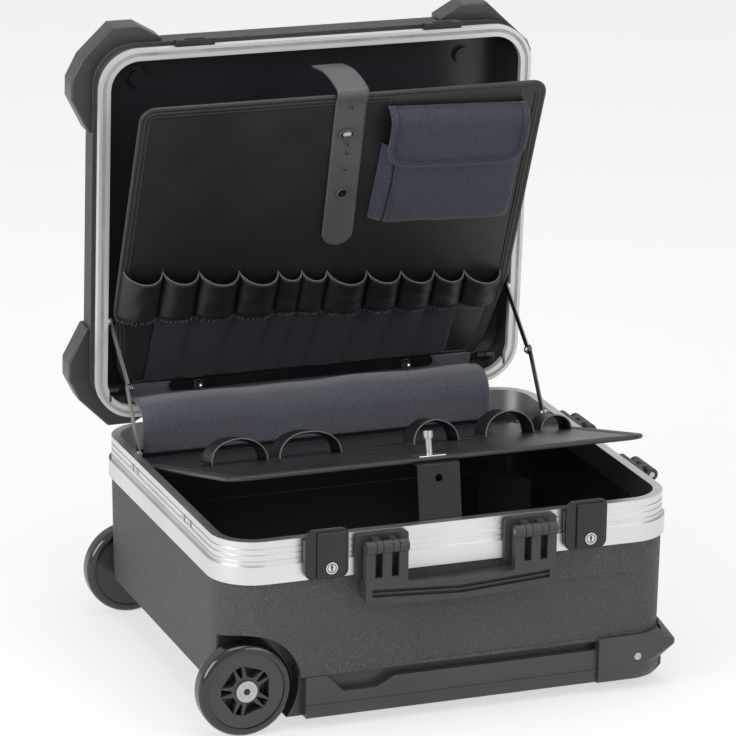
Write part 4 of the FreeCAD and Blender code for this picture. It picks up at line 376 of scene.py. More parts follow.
def plastic_finish(name, colour, low, high, uneven, peel, depth):
    """Smooth moulded plastic: uneven tone, fine orange peel and a few pale scuffs."""
    made = Finish(name, colour, uneven, 11.0)
    scuffed = made.over(made.tone, made.marks(120.0, 0.3, 0.35), 3.2)
    return made.done(scuffed, made.gloss(low, high), made.group("grain", Size=peel)[0], 0.35, depth)


def shell_finish(name, colour, liner, lid):
    """Grained shell outside, smooth dark liner inside."""
    made = Finish(name, colour, 0.16, 7.0)
    tree = made.tree
    if lid:
        mask = made.group("inside", Coordinates=closed_place(made), Radius=0.0402, Low=0.1,
                          High=0.2595)[0]
    else:
        mask = made.group("inside", Radius=0.0412, Low=0.0485, High=0.4)[0]
    outside = minus(tree, 1.0, mask)
    height, flecks, mottle = made.group("grain", Size=620.0)[:3]
    flecked = made.over(made.mottled(mottle, 0.8, 1.2), times(tree, flecks, 0.42), 3.6)
    worn = made.over(flecked, made.marks(60.0, 0.25, 0.3), 2.4)
    rough = plus(tree, times(tree, made.gloss(0.5, 0.62), outside), times(tree, mask, 0.24))
    relief = times(tree, height, plus(tree, times(tree, outside, 0.95), 0.05))
    return made.done(mixed(tree, mask, worn, solid(liner)), rough, relief, 1.0, 0.0009)


def metal_finish(name, colour, low, high, stretch, depth):
    """Drawn or plated metal: streaks, uneven gloss and light handling marks."""
    made = Finish(name, colour, 0.07, 9.0)
    streaks = made.group("brush", Size=40.0, Stretch=stretch)[0]
    streaked = made.over(made.tone, times(made.tree, streaks, 0.12), 0.72)
    marked = made.over(streaked, made.marks(70.0, 0.25, 0.25), 0.45)
    rough = spread(made.tree, streaks, 0.0, 1.0, low, high)
    return made.done(marked, rough, streaks, 0.06, depth, [("Metallic", 1.0)])


def frame_finish(name, colour):
    """The lid's aluminium frame: satin, with fine ridges along it and painted shade between the ridges."""
    made = Finish(name, colour, 0.05, 5.0)
    ridges = made.group("ridges", Coordinates=closed_place(made))[0]
    # Darker between the ridges: painted shade in the furrows
    groove_shade = times(made.tree, minus(made.tree, 1.0, ridges), 0.14)
    return made.done(made.over(made.tone, groove_shade, 0.45), made.gloss(0.38, 0.46), ridges, 0.2,
                     0.0002, [("Metallic", 0.5)])


def rubber_finish(name, colour, low, high, size):
    """Rubber: faint bloom and fine texture."""
    made = Finish(name, colour, 0.25, 24.0)
    dusty = made.over(made.tone, made.marks(200.0, 0.6, 0.3), 5.0)
    return made.done(dusty, made.gloss(low, high), made.group("grain", Size=size)[0], 0.3, 0.00015,
                     [("Specular IOR Level", 0.8)])


def leather_finish(name, colour, low, high, size, depth):
    """Artificial leather: pebbled grain with painted shade in its crease lines and a soft shine."""
    made = Finish(name, colour, 0.22, 9.0)
    height, crease_shade = made.group("pebbles", Size=size)[:2]
    # Darker along the crease lines: painted shade in the grain's hollows
    crease_shaded = made.over(made.tone, times(made.tree, crease_shade, 0.5), 0.5)
    worn = made.over(crease_shaded, made.marks(50.0, 0.5, 0.25), 2.6)
    return made.done(worn, made.gloss(low, high), height, 0.5, depth)


def cloth_finish(name, colour, size, depth, lint, sheen):
    """Woven cloth: twill threads, lint and a dull sheen."""
    made = Finish(name, colour, 0.2, 16.0)
    height, threads = made.group("weave", Size=size)[:2]
    dark = made.mottled(made.group("grain", Size=size * 3.2)[2], 0.45, 1.3)
    woven = made.over(dark, times(made.tree, threads, lint), 3.4)
    return made.done(woven, made.gloss(0.82, 0.95), height, 0.6, depth,
                     [("Sheen Weight", sheen), ("Sheen Roughness", 0.5)])


def felt_finish(name, colour):
    """Felt: matted fibres without a weave."""
    made = Finish(name, colour, 0.16, 8.0)
    fibres = made.group("brush", Size=260.0, Stretch=(1.0, 3.0, 4.0))[0]
    crossed = made.group("brush", Size=300.0, Stretch=(4.0, 1.5, 1.0))[0]
    matted = times(made.tree, fibres, crossed)
    dark = made.mottled(made.group("grain", Size=700.0)[2], 0.62, 1.3)
    return made.done(made.over(dark, times(made.tree, matted, 0.6), 2.0), made.gloss(0.88, 0.98),
                     matted, 0.5, 0.0006, [("Sheen Weight", 0.35), ("Sheen Roughness", 0.6)])


def make_finishes(colours):
    """Build the shared groups once, then every finish of the case."""
    groups.update(grain=grain_group(), tone=tone_group(), weave=weave_group(),
                  pebbles=pebble_group(), brush=brush_group(), scuffs=scuff_group(),
                  inside=inside_group(), ridges=ridge_group())
    shell, liner, leather, canvas = colours.shell, colours.liner, colours.leather, colours.canvas
    even = (1.0, 1.0, 1.0)
    along = (0.12, 0.12, 26.0)
    for key, make, *values in (
            ("base shell", shell_finish, "Grained base shell", shell, liner, False),
            ("lid shell", shell_finish, "Grained lid shell", shell, liner, True),
            ("tray", plastic_finish, "Smooth dark plastic", colours.tray, 0.27, 0.42, 0.15, 500.0,
             0.00012),
            # Also used for the dark slabs of painted shade in the key slots, axle sockets and strap holes
            ("lock_black", plastic_finish, "Black lock plastic", colours.lock, 0.16, 0.3, 0.15, 700.0,
             0.0001),
            ("handle", plastic_finish, "Handle plastic", colours.handle, 0.38, 0.5, 0.12, 900.0,
             0.0002),
            ("hub", plastic_finish, "Wheel plastic", (0.040, 0.041, 0.045), 0.2, 0.3, 0.12, 600.0,
             0.0001),
            ("band", metal_finish, "Satin aluminium", colours.aluminium, 0.32, 0.42, along, 0.0001),
            ("lid band", frame_finish, "Satin aluminium of the lid", colours.aluminium),
            ("chrome", metal_finish, "Bright plating", (0.62, 0.62, 0.64), 0.06, 0.16, even, 0.00004),
            ("steel", metal_finish, "Plated steel", (0.5, 0.5, 0.51), 0.22, 0.36, even, 0.00008),
            ("stay", metal_finish, "Blackened steel", (0.16, 0.155, 0.15), 0.3, 0.42, even, 0.00008),
            ("tyre", rubber_finish, "Tyre rubber", (0.006, 0.006, 0.0075), 0.07, 0.16, 500.0),
            ("seal", rubber_finish, "Seal rubber", (0.36, 0.365, 0.37), 0.35, 0.5, 900.0),
            ("board", leather_finish, "Artificial leather", leather, 0.3, 0.42, 900.0, 0.00025),
            ("binding", leather_finish, "Binding", solid(leather, 1.15), 0.34, 0.46, 1100.0, 0.0002),
            # Also the flap hem's finish, where its darkness stands as painted shade
            ("cloth", leather_finish, "Pocket leather", solid(leather, 0.62), 0.36, 0.52, 1000.0,
             0.0003),
            ("strap", leather_finish, "Grey strap leather", colours.strap, 0.42, 0.55, 1300.0, 0.0001),
            ("denim", cloth_finish, "Navy canvas", canvas, 210.0, 0.0007, 0.8, 0.2),
            ("lining", cloth_finish, "Dark lining", solid(canvas, 0.42), 240.0, 0.0005, 0.6, 0.1),
            ("felt", felt_finish, "Navy grey felt", colours.felt),
            ("thread", cloth_finish, "Sewing thread", (0.035, 0.035, 0.04), 1500.0, 0.0001, 0.3, 0.1),
            ("edging", cloth_finish, "Cut edge", (0.15, 0.145, 0.15), 1500.0, 0.0001, 0.3, 0.1),
            ("frayed", cloth_finish, "Frayed navy thread", (0.085, 0.092, 0.115), 1500.0, 0.0001, 0.3,
             0.1)):
        finishes[key] = make(*values)


# Shapes: grids, rims, cords, stitches and softened CAD parts
def keep_piece(name, verts, faces, body, finish, smooth=True):
    """A mesh piece with its finish and its slot, riding on its body where it has a single one."""
    mesh = bpy.data.meshes.new(name)
    mesh.from_pydata([tuple(v) for v in verts], [], faces)
    mesh.validate()
    mesh.shade_smooth() if smooth else mesh.shade_flat()
    piece = bpy.data.objects.new(name, mesh)
    bpy.context.scene.collection.objects.link(piece)
    mesh.materials.append(finishes[finish])
    if body:
        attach(piece, body)
    return piece


def grid_faces(rows, columns, loop=False, start=0):
    """Faces of a grid of points, row after row, closed round each row if asked."""
    faces = []
    for r in range(rows - 1):
        for c in range(columns if loop else columns - 1):
            a, b = start + r * columns + c, start + r * columns + (c + 1) % columns
            faces.append((a, b, b + columns, a + columns))
    return faces


def turned(faces):
    """The same faces, looking the other way."""
    return [tuple(reversed(face)) for face in faces]


def ring_faces(rows, columns, start=0):
    """Faces of a grid that is closed both round its rows and from the last row to the first."""
    count = rows * columns
    return [tuple(start + i % count for i in face) for face in grid_faces(rows + 1, columns, True)]


def rod_faces(rows, columns, start=0):
    """Faces of a rod with both its ends closed."""
    last = start + (rows - 1) * columns
    ends = [tuple(start + c for c in reversed(range(columns))), tuple(last + c for c in range(columns))]
    return grid_faces(rows, columns, True, start) + ends


def circle(count):
    """Cosine and sine at even steps round a circle."""
    angles = [2 * math.pi * k / count for k in range(count)]
    return [(math.cos(angle), math.sin(angle)) for angle in angles]


def way_at(path, i):
    """The direction of a path at one of its points."""
    return (path[min(i + 1, len(path) - 1)] - path[max(i - 1, 0)]).normalized()


def add_rim(verts, faces, centre, up, wide, tall, thick, proud, around):
    """Add a rim round an oval, with a round section that stands proud of the face."""
    start = len(verts)
    for c, s in circle(around):
        middle = centre + across * (wide * c) + up * (tall * s)
        out = (across * c + up * s) * thick
        verts.extend(middle + out * a + proud * b for a, b in circle(8))
    faces.extend(ring_faces(around, 8, start))


def add_cord(verts, faces, path, up, radius):
    """Add a thin cord along a path."""
    start = len(verts)
    for i, place in enumerate(path):
        side = way_at(path, i).cross(up).normalized()
        verts.extend(place + (up * s + side * c) * radius for c, s in circle(6))
    faces.extend(grid_faces(len(path), 6, True, start))


def thicken(piece, amount, offset=-1.0):
    """Give a sheet its cloth thickness."""
    item = piece.modifiers.new("Thickness", "SOLIDIFY")
    item.thickness = amount
    item.offset = offset
    item.use_even_offset = False


def rounded_plan(points, radii):
    """A closed outline with round corners, as points with their outward directions."""
    result = []
    count, steps = len(points), 6
    for i in range(count):
        before, here, after = (Vector(points[j % count]) for j in (i - 1, i, i + 1))
        a, b = (before - here).normalized(), (after - here).normalized()
        angle = math.acos(max(-1.0, min(1.0, a.dot(b))))
        cut = radii[i] / math.tan(angle / 2)
        centre = here + (a + b).normalized() * (radii[i] / math.sin(angle / 2))
        start, end = here + a * cut - centre, here + b * cut - centre
        turn = math.atan2(start.x * end.y - start.y * end.x, start.dot(end))
        for k in range(steps + 1):
            part = start.copy()
            part.rotate(Matrix.Rotation(turn * k / steps, 2))
            result.append((centre + part, part.normalized()))
    return result


def smooth_path(points, steps):
    """A rounded path through the places of a side view, as a Catmull-Rom curve."""
    found = []
    padded = [points[0]] + points + [points[-1]]
    for i in range(len(points) - 1):
        a, b, c, d = (Vector(padded[i + j]) for j in range(4))
        for k in range(steps):
            t = k / steps
            found.append(0.5 * ((2 * b) + (c - a) * t + (2 * a - 5 * b + 4 * c - d) * t * t +
                                (3 * b - a - 3 * c + d) * t * t * t))
    found.append(Vector(points[-1]))
    return found


def spaced(path, step):
    """Points along a path at even steps, each with its direction."""
    found = []
    carry = 0.0
    for a, b in zip(path, path[1:]):
        run = b - a
        length = run.length
        if length < 1e-9:
            continue
        at = carry
        while at < length:
            found.append((a + run * (at / length), run / length))
            at += step
        carry = at - length
    return found


def sew(name, rows, body, finish="thread"):
    """Rows of stitches as one piece. A row is a path and the way out of the cloth, and each stitch
    is a short slim thread, a small closed spindle that dips into the cloth at both ends."""
    sizes = bpy.context.scene.case_sizes
    length, radius, around = sizes.stitch_length, sizes.thread_radius, 6
    spindle = ((0.0, 0.25, -0.3), (0.2, 1.0, 0.5), (0.8, 1.0, 0.5), (1.0, 0.25, -0.3))
    verts, faces = [], []
    for path, out in rows:
        for place, way in spaced(path, length + sizes.stitch_gap):
            side = way.cross(out).normalized()
            start = len(verts)
            for share, size, rise in spindle:
                centre = place + way * (length * share) + out * (radius * rise)
                verts.extend(centre + (side * c + out * s) * radius * size for c, s in circle(around))
            faces.extend(rod_faces(len(spindle), around, start))
    keep_piece(name, verts, faces, body, finish)


def wander(x, y, z, size, amount):
    """A small smooth wrinkle at a place."""
    return noise.noise(Vector((x * size, y * size, z * size))) * amount


def moulded(name, radius, finish=None, segments=2):
    """A softened copy of a hard CAD part: its edges get a small round, and it stands for the part."""
    work = bmesh.new()
    work.from_mesh(frame["nodes"][name].data)
    bmesh.ops.remove_doubles(work, verts=work.verts, dist=3e-6)
    bmesh.ops.dissolve_limit(work, angle_limit=math.radians(0.6), verts=work.verts, edges=work.edges)
    least = math.radians(28)
    edges = [e for e in work.edges if len(e.link_faces) == 2 and e.calc_face_angle(0) > least]
    bmesh.ops.bevel(work, geom=edges, offset=radius, segments=segments, profile=0.5, affect="EDGES",
                    clamp_overlap=True)
    bmesh.ops.triangulate(work, faces=work.faces, quad_method="BEAUTY", ngon_method="BEAUTY")
    mesh = bpy.data.meshes.new(name + "_moulded")
    work.to_mesh(mesh)
    work.free()
    if "custom_normal" in mesh.attributes:
        mesh.attributes.remove(mesh.attributes["custom_normal"])
    mesh.shade_smooth()
    mesh.set_sharp_from_angle(angle=math.radians(40))
    mesh.materials.clear()
    mesh.materials.append(finishes[finish or slots_of[name]])
    piece = bpy.data.objects.new(name + "_moulded", mesh)
    bpy.context.scene.collection.objects.link(piece)
    piece.modifiers.new("Even shading", "WEIGHTED_NORMAL").keep_sharp = True
    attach(piece, bodies_of[name])
    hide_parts(name)


def finish_node(name, finish=None):
    """Keep a CAD part as it is and give it its finish."""
    item = frame["nodes"][name]
    item.data.materials.clear()
    item.data.materials.append(finishes[finish or slots_of[name]])


class CaseShells(bpy.types.Operator):
    """Finish the two shells, the tray, the corner caps and the feet"""
    bl_idname = "toolcase.shells"
    bl_label = "Shells and caps"

    def execute(self, context):
        moulded("base_shell", 0.0012, "base shell")
        moulded("lid_shell", 0.0012, "lid shell")
        for name in ("bottom_tray", "corner_cap_front", "corner_cap_rear", "lid_cap_front", "lid_cap_rear"):
            moulded(name, 0.0012)
        moulded("tray_feet", 0.0008)
        return {"FINISHED"}


class CaseBands(bpy.types.Operator):
    """Finish the aluminium bands, the seal, the hinges, rivets and screws"""
    bl_idname = "toolcase.bands"
    bl_label = "Bands and hinges"

    def execute(self, context):
        finish_node("base_band", "band")
        finish_node("lid_band", "lid band")
        for name in ("lid_seal", "hinge_pins", "board_pins", "lower_board_pins", "handle_pins"):
            finish_node(name)
        for name in ("base_rivets", "lid_rivets", "hinge_base_leaves", "hinge_lid_leaves", "cap_screws"):
            moulded(name, 0.0004)
        for side in ("left", "right"):
            for link in ("lower", "upper"):
                moulded("stay_%s_%s" % (side, link), 0.0003)
        return {"FINISHED"}


class CaseKnuckles(bpy.types.Operator):
    """Turn the bright domed rivets at the stays' knuckles"""
    bl_idname = "toolcase.knuckles"
    bl_label = "Stay rivets"

    def execute(self, context):
        dome = [(0.0, 0.0026), (0.0016, 0.0024), (0.0030, 0.0017), (0.0037, 0.0008), (0.0038, 0.0)]
        for name, side in (("left", -1), ("right", 1)):
            for body, face, y, z in (("stay_link_%s_high" % name, 0.2316, 0.157, 0.256),
                                     ("base", 0.2350, 0.116, 0.194)):
                verts = [Vector((side * (face - rise), y + r * c, z + r * s))
                         for r, rise in dome for c, s in circle(20)]
                keep_piece("stay_rivet_%s_%s" % (name, body), verts, grid_faces(len(dome), 20, True),
                           body, "steel")
        return {"FINISHED"}


class CaseLocks(bpy.types.Operator):
    """Finish the locks, their flaps and keys, and the catches on the lid"""
    bl_idname = "toolcase.locks"
    bl_label = "Locks"

    def execute(self, context):
        for side in ("left", "right"):
            moulded("lock_body_" + side, 0.0014, segments=3)
            moulded("lock_flap_" + side, 0.0009)
            moulded("key_cylinder_" + side, 0.0004)
            self.key_face(side)
        moulded("lid_catches", 0.0009)
        return {"FINISHED"}

    def key_face(self, side):
        """A dark ring round the key cylinder's face, and a dark slab in the shape of the key slot: painted
        shade for the slot.
        """
        low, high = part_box("key_cylinder_" + side)
        x, z, front = (low.x + high.x) / 2, (low.z + high.z) / 2, low.y
        radius = 0.70 * (high.x - low.x) / 2
        verts, faces = [], []
        add_rim(verts, faces, Vector((x, front, z)), upright, radius, radius, 0.00045,
                Vector((0, -0.00025, 0)), 40)
        start = len(verts)
        # The key slot's outline, drawn as a dark slab: painted shade where the slot is
        keyway_shade = [(-0.0006, -0.0030), (0.0006, -0.0030), (0.0006, -0.0006), (0.0013, 0.0004),
                  (0.0011, 0.0018), (0.0, 0.0026), (-0.0011, 0.0018), (-0.0013, 0.0004),
                  (-0.0006, -0.0006)]
        count = len(keyway_shade)
        for lift in (0.0001, -0.0002):
            verts.extend(Vector((x + a, front + lift, z + b)) for a, b in keyway_shade)
        faces.extend(grid_faces(2, count, True, start))
        faces.append(tuple(start + count + c for c in reversed(range(count))))
        body = bodies_of["key_cylinder_" + side]
        keep_piece("key_face_" + side, verts, faces, body, "lock_black")


class CaseHandles(bpy.types.Operator):
    """Finish the two carrying handles, their brackets and the trolley handle"""
    bl_idname = "toolcase.handles"
    bl_label = "Handles"

    def execute(self, context):
        for name in ("front_handle", "side_handle"):
            moulded(name, 0.0016, segments=3)
        for name in ("front_brackets", "side_brackets"):
            moulded(name, 0.0011)
        for name in ("trolley_outer_tubes", "trolley_mid_tubes", "trolley_inner_tubes"):
            finish_node(name)
        moulded("trolley_grip", 0.001)
        moulded("trolley_button", 0.0008)
        return {"FINISHED"}


class CaseWheels(bpy.types.Operator):
    """Finish the wheels and their axles"""
    bl_idname = "toolcase.wheels"
    bl_label = "Wheels"

    def execute(self, context):
        for side in ("front", "rear"):
            moulded("wheel_%s_tyre" % side, 0.0006)
            moulded("wheel_%s_hub" % side, 0.0007)
        moulded("wheel_axles", 0.0008)
        self.axle_heads()
        return {"FINISHED"}

    def axle_heads(self):
        """A dark hexagon of painted shade for the recessed socket in each axle's head, with a turned ring
        round it.
        """
        low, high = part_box("wheel_axles")
        x, z = (low.x + high.x) / 2, (low.z + high.z) / 2
        radius = (high.z - low.z) / 2
        socket, ring = 0.34 * radius, 0.62 * radius
        sockets, socket_shade_faces, rims, rim_faces = [], [], [], []
        for face, way in ((low.y, -1), (high.y, 1)):
            start = len(sockets)
            # A thin dark hexagon slab on the head's face: painted shade for the recessed socket
            for lift in (-0.0001, 0.0001):
                sockets.extend(Vector((x + socket * c, face + way * lift, z + socket * s))
                               for c, s in circle(6))
            socket_shade_faces.extend(grid_faces(2, 6, True, start))
            order = range(6) if way < 0 else reversed(range(6))
            socket_shade_faces.append(tuple(start + 6 + k for k in order))
            add_rim(rims, rim_faces, Vector((x, face, z)), upright, ring, ring, 0.0007,
                    Vector((0, way * 0.0005, 0)), 36)
        body = bodies_of["wheel_axles"]
        keep_piece("axle_socket_shade", sockets, socket_shade_faces, body, "lock_black", False)
        keep_piece("axle_rims", rims, rim_faces, body, "steel")


class CaseBoards(bpy.types.Operator):
    """Finish the two tool boards and sew a bound border round each"""
    bl_idname = "toolcase.boards"
    bl_label = "Boards"

    def execute(self, context):
        finish_node("upper_board")
        finish_node("lower_board")
        wide = context.scene.case_sizes.binding_width
        self.bind("upper_board_binding", upper_outline, [0.016] * 8, on_upper, "upper_pallet", wide)
        self.bind("lower_board_binding", lower_outline, [0.024] * 2 + [0.006] * 4, on_lower,
                  "lower_pallet", wide)
        moulded("pallet_post", 0.0005)
        moulded("prop_plate", 0.0005)
        return {"FINISHED"}

    def bind(self, name, outline, radii, place, body, wide):
        """A folded border sewn round a board's edge, with two rows of stitches on each face."""
        plan = rounded_plan(outline, radii)
        crest, groove = 0.0024, 0.0020
        rows = (0.0040, 0.0090)
        half = [(wide, 0.0016), (wide - 0.0006, 0.0022), (0.0096, crest), (rows[1], groove),
                (0.0084, crest), (0.0046, crest), (rows[0], groove), (0.0034, crest), (0.0008, 0.0023),
                (-0.0006, 0.0016), (-0.0010, 0.0)]
        profile = half + [(inward, -proud) for inward, proud in reversed(half[:-1])]
        verts = [place(point.x - out.x * inward, point.y - out.y * inward, proud)
                 for point, out in plan for inward, proud in profile]
        keep_piece(name, verts, ring_faces(len(plan), len(profile)), body, "binding")
        up = place(0, 0, 1) - place(0, 0, 0)
        threads = []
        for inward in rows:
            for face in (1, -1):
                path = [place(point.x - out.x * inward, point.y - out.y * inward, 0.0022 * face)
                        for point, out in plan]
                threads.append((path + path[:1], up * face))
        sew(name + "_stitches", threads, body)


def row_top(x):
    """The height of the sleeves' upper edge, which falls from left to right."""
    return 0.1465 - 0.023 * x / board_half


def row_foot(x):
    """The height of the sleeves' lower edge."""
    return 0.0965 - 0.013 * x / board_half


def seam_lean(x, share):
    """How far the lining leans over at a share of its height, less so near the board's sides."""
    return 0.012 * (1 - share) * (1 - (abs(x) / 0.2) ** 4)


def sleeve_columns(seams, steps):
    """Each sleeve's two seams and the shares of its arc between them."""
    return [(left, right, k / steps) for left, right in zip(seams, seams[1:])
            for k in range(steps + (right == seams[-1]))]


def bowed(left, right, share, turn):
    """Where a sleeve's cloth is at a share of its arc from seam to seam, and how far out it bows."""
    wide = right - left
    rise = wide * share
    radius = (wide * wide / 4 + rise * rise) / (2 * rise)
    angle = math.asin(min(1.0, wide / 2 / radius)) * (2 * turn - 1)
    return (left + right) / 2 + radius * math.sin(angle), rise - radius + radius * math.cos(angle)


class CasePockets(bpy.types.Operator):
    """Sew the row of tool sleeves and the lining row below it"""
    bl_idname = "toolcase.pockets"
    bl_label = "Pocket rows"

    def execute(self, context):
        cloth = context.scene.case_sizes.pocket_cloth
        base, rows = 0.0021, 15
        columns = sleeve_columns(seam_places, 14)
        verts = []
        for r in range(rows):
            v = r / (rows - 1)
            for left, right, turn in columns:
                x, rise = bowed(left, right, 0.405, turn)
                bulge = 4 * turn * (1 - turn)
                top = row_top(x) - 0.0052 * bulge
                foot = row_foot(x) + 0.0030 * (bulge - 0.5) + wander(x, 3.0, 1.0, 420, 0.0016) * (r == 0)
                fullness = 0.82 + 0.18 * v - 0.05 * math.sin(math.pi * v)
                crease = wander(x, v * 0.05, 0.3, 70, 0.0022) * bulge * math.sin(math.pi * min(1, v * 1.2))
                verts.append(on_upper(x, foot + (top - foot) * v, base + max(0.0, rise * fullness + crease)))
        row = keep_piece("pocket_row_sleeves", verts, turned(grid_faces(rows, len(columns))),
                         "upper_pallet", "cloth")
        thicken(row, cloth)
        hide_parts("pocket_row")
        cord, cord_faces = [], []
        add_cord(cord, cord_faces, verts[-len(columns):], upper_up, 0.00075)
        keep_piece("pocket_row_edging", cord, cord_faces, "upper_pallet", "edging")
        sew("pocket_row_stitches",
            [([on_upper(x + shift, row_foot(x) - 0.002, base + 0.0010),
               on_upper(x + shift, row_top(x) - 0.001, base + 0.0010)], upper_out)
             for x in seam_places for shift in (-0.0009, 0.0009)], "upper_pallet")
        self.fray_foot(verts[:len(columns)])
        self.lining_row(cloth)
        return {"FINISHED"}

    def fray_foot(self, foot):
        """Loose threads along the raw lower edge of the sleeves."""
        threads = []
        for i, place in enumerate(foot):
            for k in range(3):
                lean = noise.noise(Vector((i * 1.7, k * 5.1, 0.3)))
                drop = 0.0022 + 0.0026 * abs(noise.noise(Vector((i * 0.9, k * 3.3, 7.7))))
                way = (across * (lean * 0.9) - upper_up).normalized()
                start = place + across * (0.0007 * (k - 1)) + upper_out * 0.0004
                threads.append(([start + upper_up * 0.0016, start + way * drop], upper_out))
        sew("pocket_row_fray", threads, "upper_pallet", "frayed")

    def lining_row(self, cloth):
        """The dark canvas row under the sleeves, with leaning seams."""
        inner = [x for x in seam_places if abs(x) < 0.197]
        base, foot, rows = 0.0020, 0.0145, 12
        columns = sleeve_columns(inner, 8)
        verts = []
        for r in range(rows):
            v = r / (rows - 1)
            for left, right, turn in columns:
                x, rise = bowed(left, right, 0.15, turn)
                up = foot + (row_foot(x) - 0.004 - foot) * v
                fold = wander(x, up, 0.7, 60, 0.0014)
                verts.append(on_upper(x - seam_lean(x, v), up,
                                      base + max(0.0, rise * (0.55 + 0.45 * v) + fold)))
        row = keep_piece("lining_row_sleeves", verts, turned(grid_faces(rows, len(columns))),
                         "upper_pallet", "lining")
        thicken(row, cloth)
        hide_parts("lower_pocket_row")
        steps = 5
        paths = [[on_upper(x - seam_lean(x, k / steps), 0.0155 + (row_foot(x) - 0.021) * k / steps,
                           base + 0.0012) for k in range(steps + 1)] for x in inner]
        paths.append([on_upper(x, 0.0165, base + 0.0006) for x in (inner[0] - 0.004, inner[-1])])
        sew("lining_row_stitches", [(path, upper_out) for path in paths], "upper_pallet")


class CasePouch(bpy.types.Operator):
    """Sew the pouch with its gusset and the flap that covers it"""
    bl_idname = "toolcase.pouch"
    bl_label = "Pouch"

    def execute(self, context):
        seat, front = 0.0019, 0.0205
        plan = [(0.047, seat), (0.0475, 0.006), (0.0515, 0.0105), (0.0535, 0.0145), (0.0580, 0.0180),
                (0.0600, 0.0120), (0.0612, 0.0200), (0.0620, 0.0198)]
        plan += [(0.062 + 0.142 * k / 18, 0.0196 + 0.0016 * math.sin(math.pi * k / 18))
                 for k in range(1, 18)]
        plan += [(0.2050, 0.0188), (0.2064, 0.0170), (0.2070, 0.0120), (0.2069, 0.006), (0.2067, seat)]
        foot, tall = 0.217, 0.101
        levels = [(foot, 0.02), (0.2173, 0.45), (0.2192, 0.78), (0.2230, 0.93), (0.2290, 1.0)]
        levels += [(0.229 + 0.0089 * k, 1.0) for k in range(1, 11)]
        verts = []
        for up, share in levels:
            for x, out in plan:
                lean = 0.0025 * (up - foot) / tall * (x < 0.07)
                fold = wander(x, up, 0.2, 38, 0.0022) + wander(x, up, 0.9, 90, 0.0007)
                depth = seat + (out - seat) * share + fold * share * (0.002 < out)
                verts.append(on_pouch(x + lean, up, min(front, max(seat, depth))))
        bag = keep_piece("pouch_bag", verts, turned(grid_faces(len(levels), len(plan))),
                         "upper_pallet", "denim")
        thicken(bag, 0.0013)
        form = bag.modifiers.new("Smooth form", "SUBSURF")
        form.levels = form.render_levels = 1
        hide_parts("pouch_body")
        threads = [([on_pouch(x + 0.0025 * k / 8, 0.224 + 0.0100 * k, 0.0207) for k in range(9)],
                    upper_out) for x in (0.0602, 0.0655)]
        path = [on_pouch(x, 0.2192, 0.0185 if 0.06 < x < 0.203 else 0.012)
                for x in (0.049 + 0.156 * k / 20 for k in range(21))]
        threads.append((path, (upper_out - upper_up).normalized()))
        sew("pouch_stitches", threads, "upper_pallet")
        self.sew_flap()
        return {"FINISHED"}

    def sew_flap(self):
        """The flap over the pouch: rounded lower corners, a bound edge and two rows of stitches."""
        left, right, high, low, round_off = 0.048, 0.209, 0.365, 0.298, 0.022
        profile = [(high, 0.0024), (0.3649, 0.0045), (0.3643, 0.0080), (0.3625, 0.0125),
                   (0.3595, 0.0170), (0.3555, 0.0202), (0.3510, 0.0218), (0.3450, 0.0225)]
        profile += [(0.345 - (0.345 - low) * k / 16, 0.0225 + 0.0005 * math.sin(k / 3))
                    for k in range(1, 17)]
        columns = 27
        verts = []
        for up, out in profile:
            depth = up - low
            inset = 0.0
            if depth < round_off:
                inset = round_off - math.sqrt(max(0.0, round_off ** 2 - (round_off - depth) ** 2))
            for k in range(columns):
                t = k / (columns - 1)
                x = left + inset + (right - left - 2 * inset) * t
                swell = 0.0016 * math.sin(math.pi * t) * min(1.0, (high - up) / 0.02)
                fold = wander(x, up, 0.4, 30, 0.0012) * min(1.0, (high - up) / 0.03)
                verts.append(on_pouch(x, up, min(0.0245, out + swell + fold)))
        flap = keep_piece("pouch_flap_cloth", verts, grid_faces(len(profile), columns), "pouch_cover",
                          "denim")
        thicken(flap, 0.0016, 1.0)
        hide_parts("pouch_flap")
        self.sew_hem(left, right)
        rows = [verts[i:i + columns] for i in range(columns, len(verts), columns)]
        self.bind_flap([row[0] for row in rows] + rows[-1][1:-1] + [row[-1] for row in reversed(rows)])

    def bind_flap(self, rim):
        """The bound edge down one side, along the foot and up the other, and its stitches."""
        middle = on_pouch(0.127, 0.33, 0.02)
        shape = [(-0.0005, 0.0), (-0.0003, 0.0015), (0.0010, 0.0023), (0.0062, 0.0023), (0.0068, 0.0016),
                 (0.0068, 0.0004), (0.0010, -0.0004)]
        verts, outer, inner = [], [], []
        for i, place in enumerate(rim):
            way = way_at(rim, i)
            inward = upper_out.cross(way).normalized()
            if inward.dot(middle - place) < 0:
                inward = -inward
            proud = inward.cross(way).normalized()
            if proud.dot(upper_out + upper_up * 0.5) < 0:
                proud = -proud
            verts.extend(place + inward * a + proud * b for a, b in shape)
            if 5 < i < len(rim) - 6:
                outer.append(place + inward * 0.0052 + upper_out * 0.0024)
                inner.append(place + inward * 0.0086 + upper_out * 0.0020)
        keep_piece("pouch_flap_binding", verts, rod_faces(len(rim), len(shape)), "pouch_cover",
                   "denim")
        sew("pouch_flap_stitches", [(outer, upper_out), (inner, upper_out)], "pouch_cover")

    def sew_hem(self, left, right):
        """The flap's flat leather hem, from its fold up to the line where it turns. Its darker pocket
        leather stands as painted shade, the dark strip above the flap.
        """
        rows, steps = [0.0, 0.05, 0.5, 0.95, 1.0], 20
        verts = []
        for row in rows:
            for k in range(steps + 1):
                x = left + (right - left) * k / steps
                fold, turn = on_upper(x, 0.3778, 0.0021), on_pouch(x, 0.3648, 0.0021)
                verts.append(fold.lerp(turn, row) + upper_out * (0.0004 if 0 < row < 1 else 0.0))
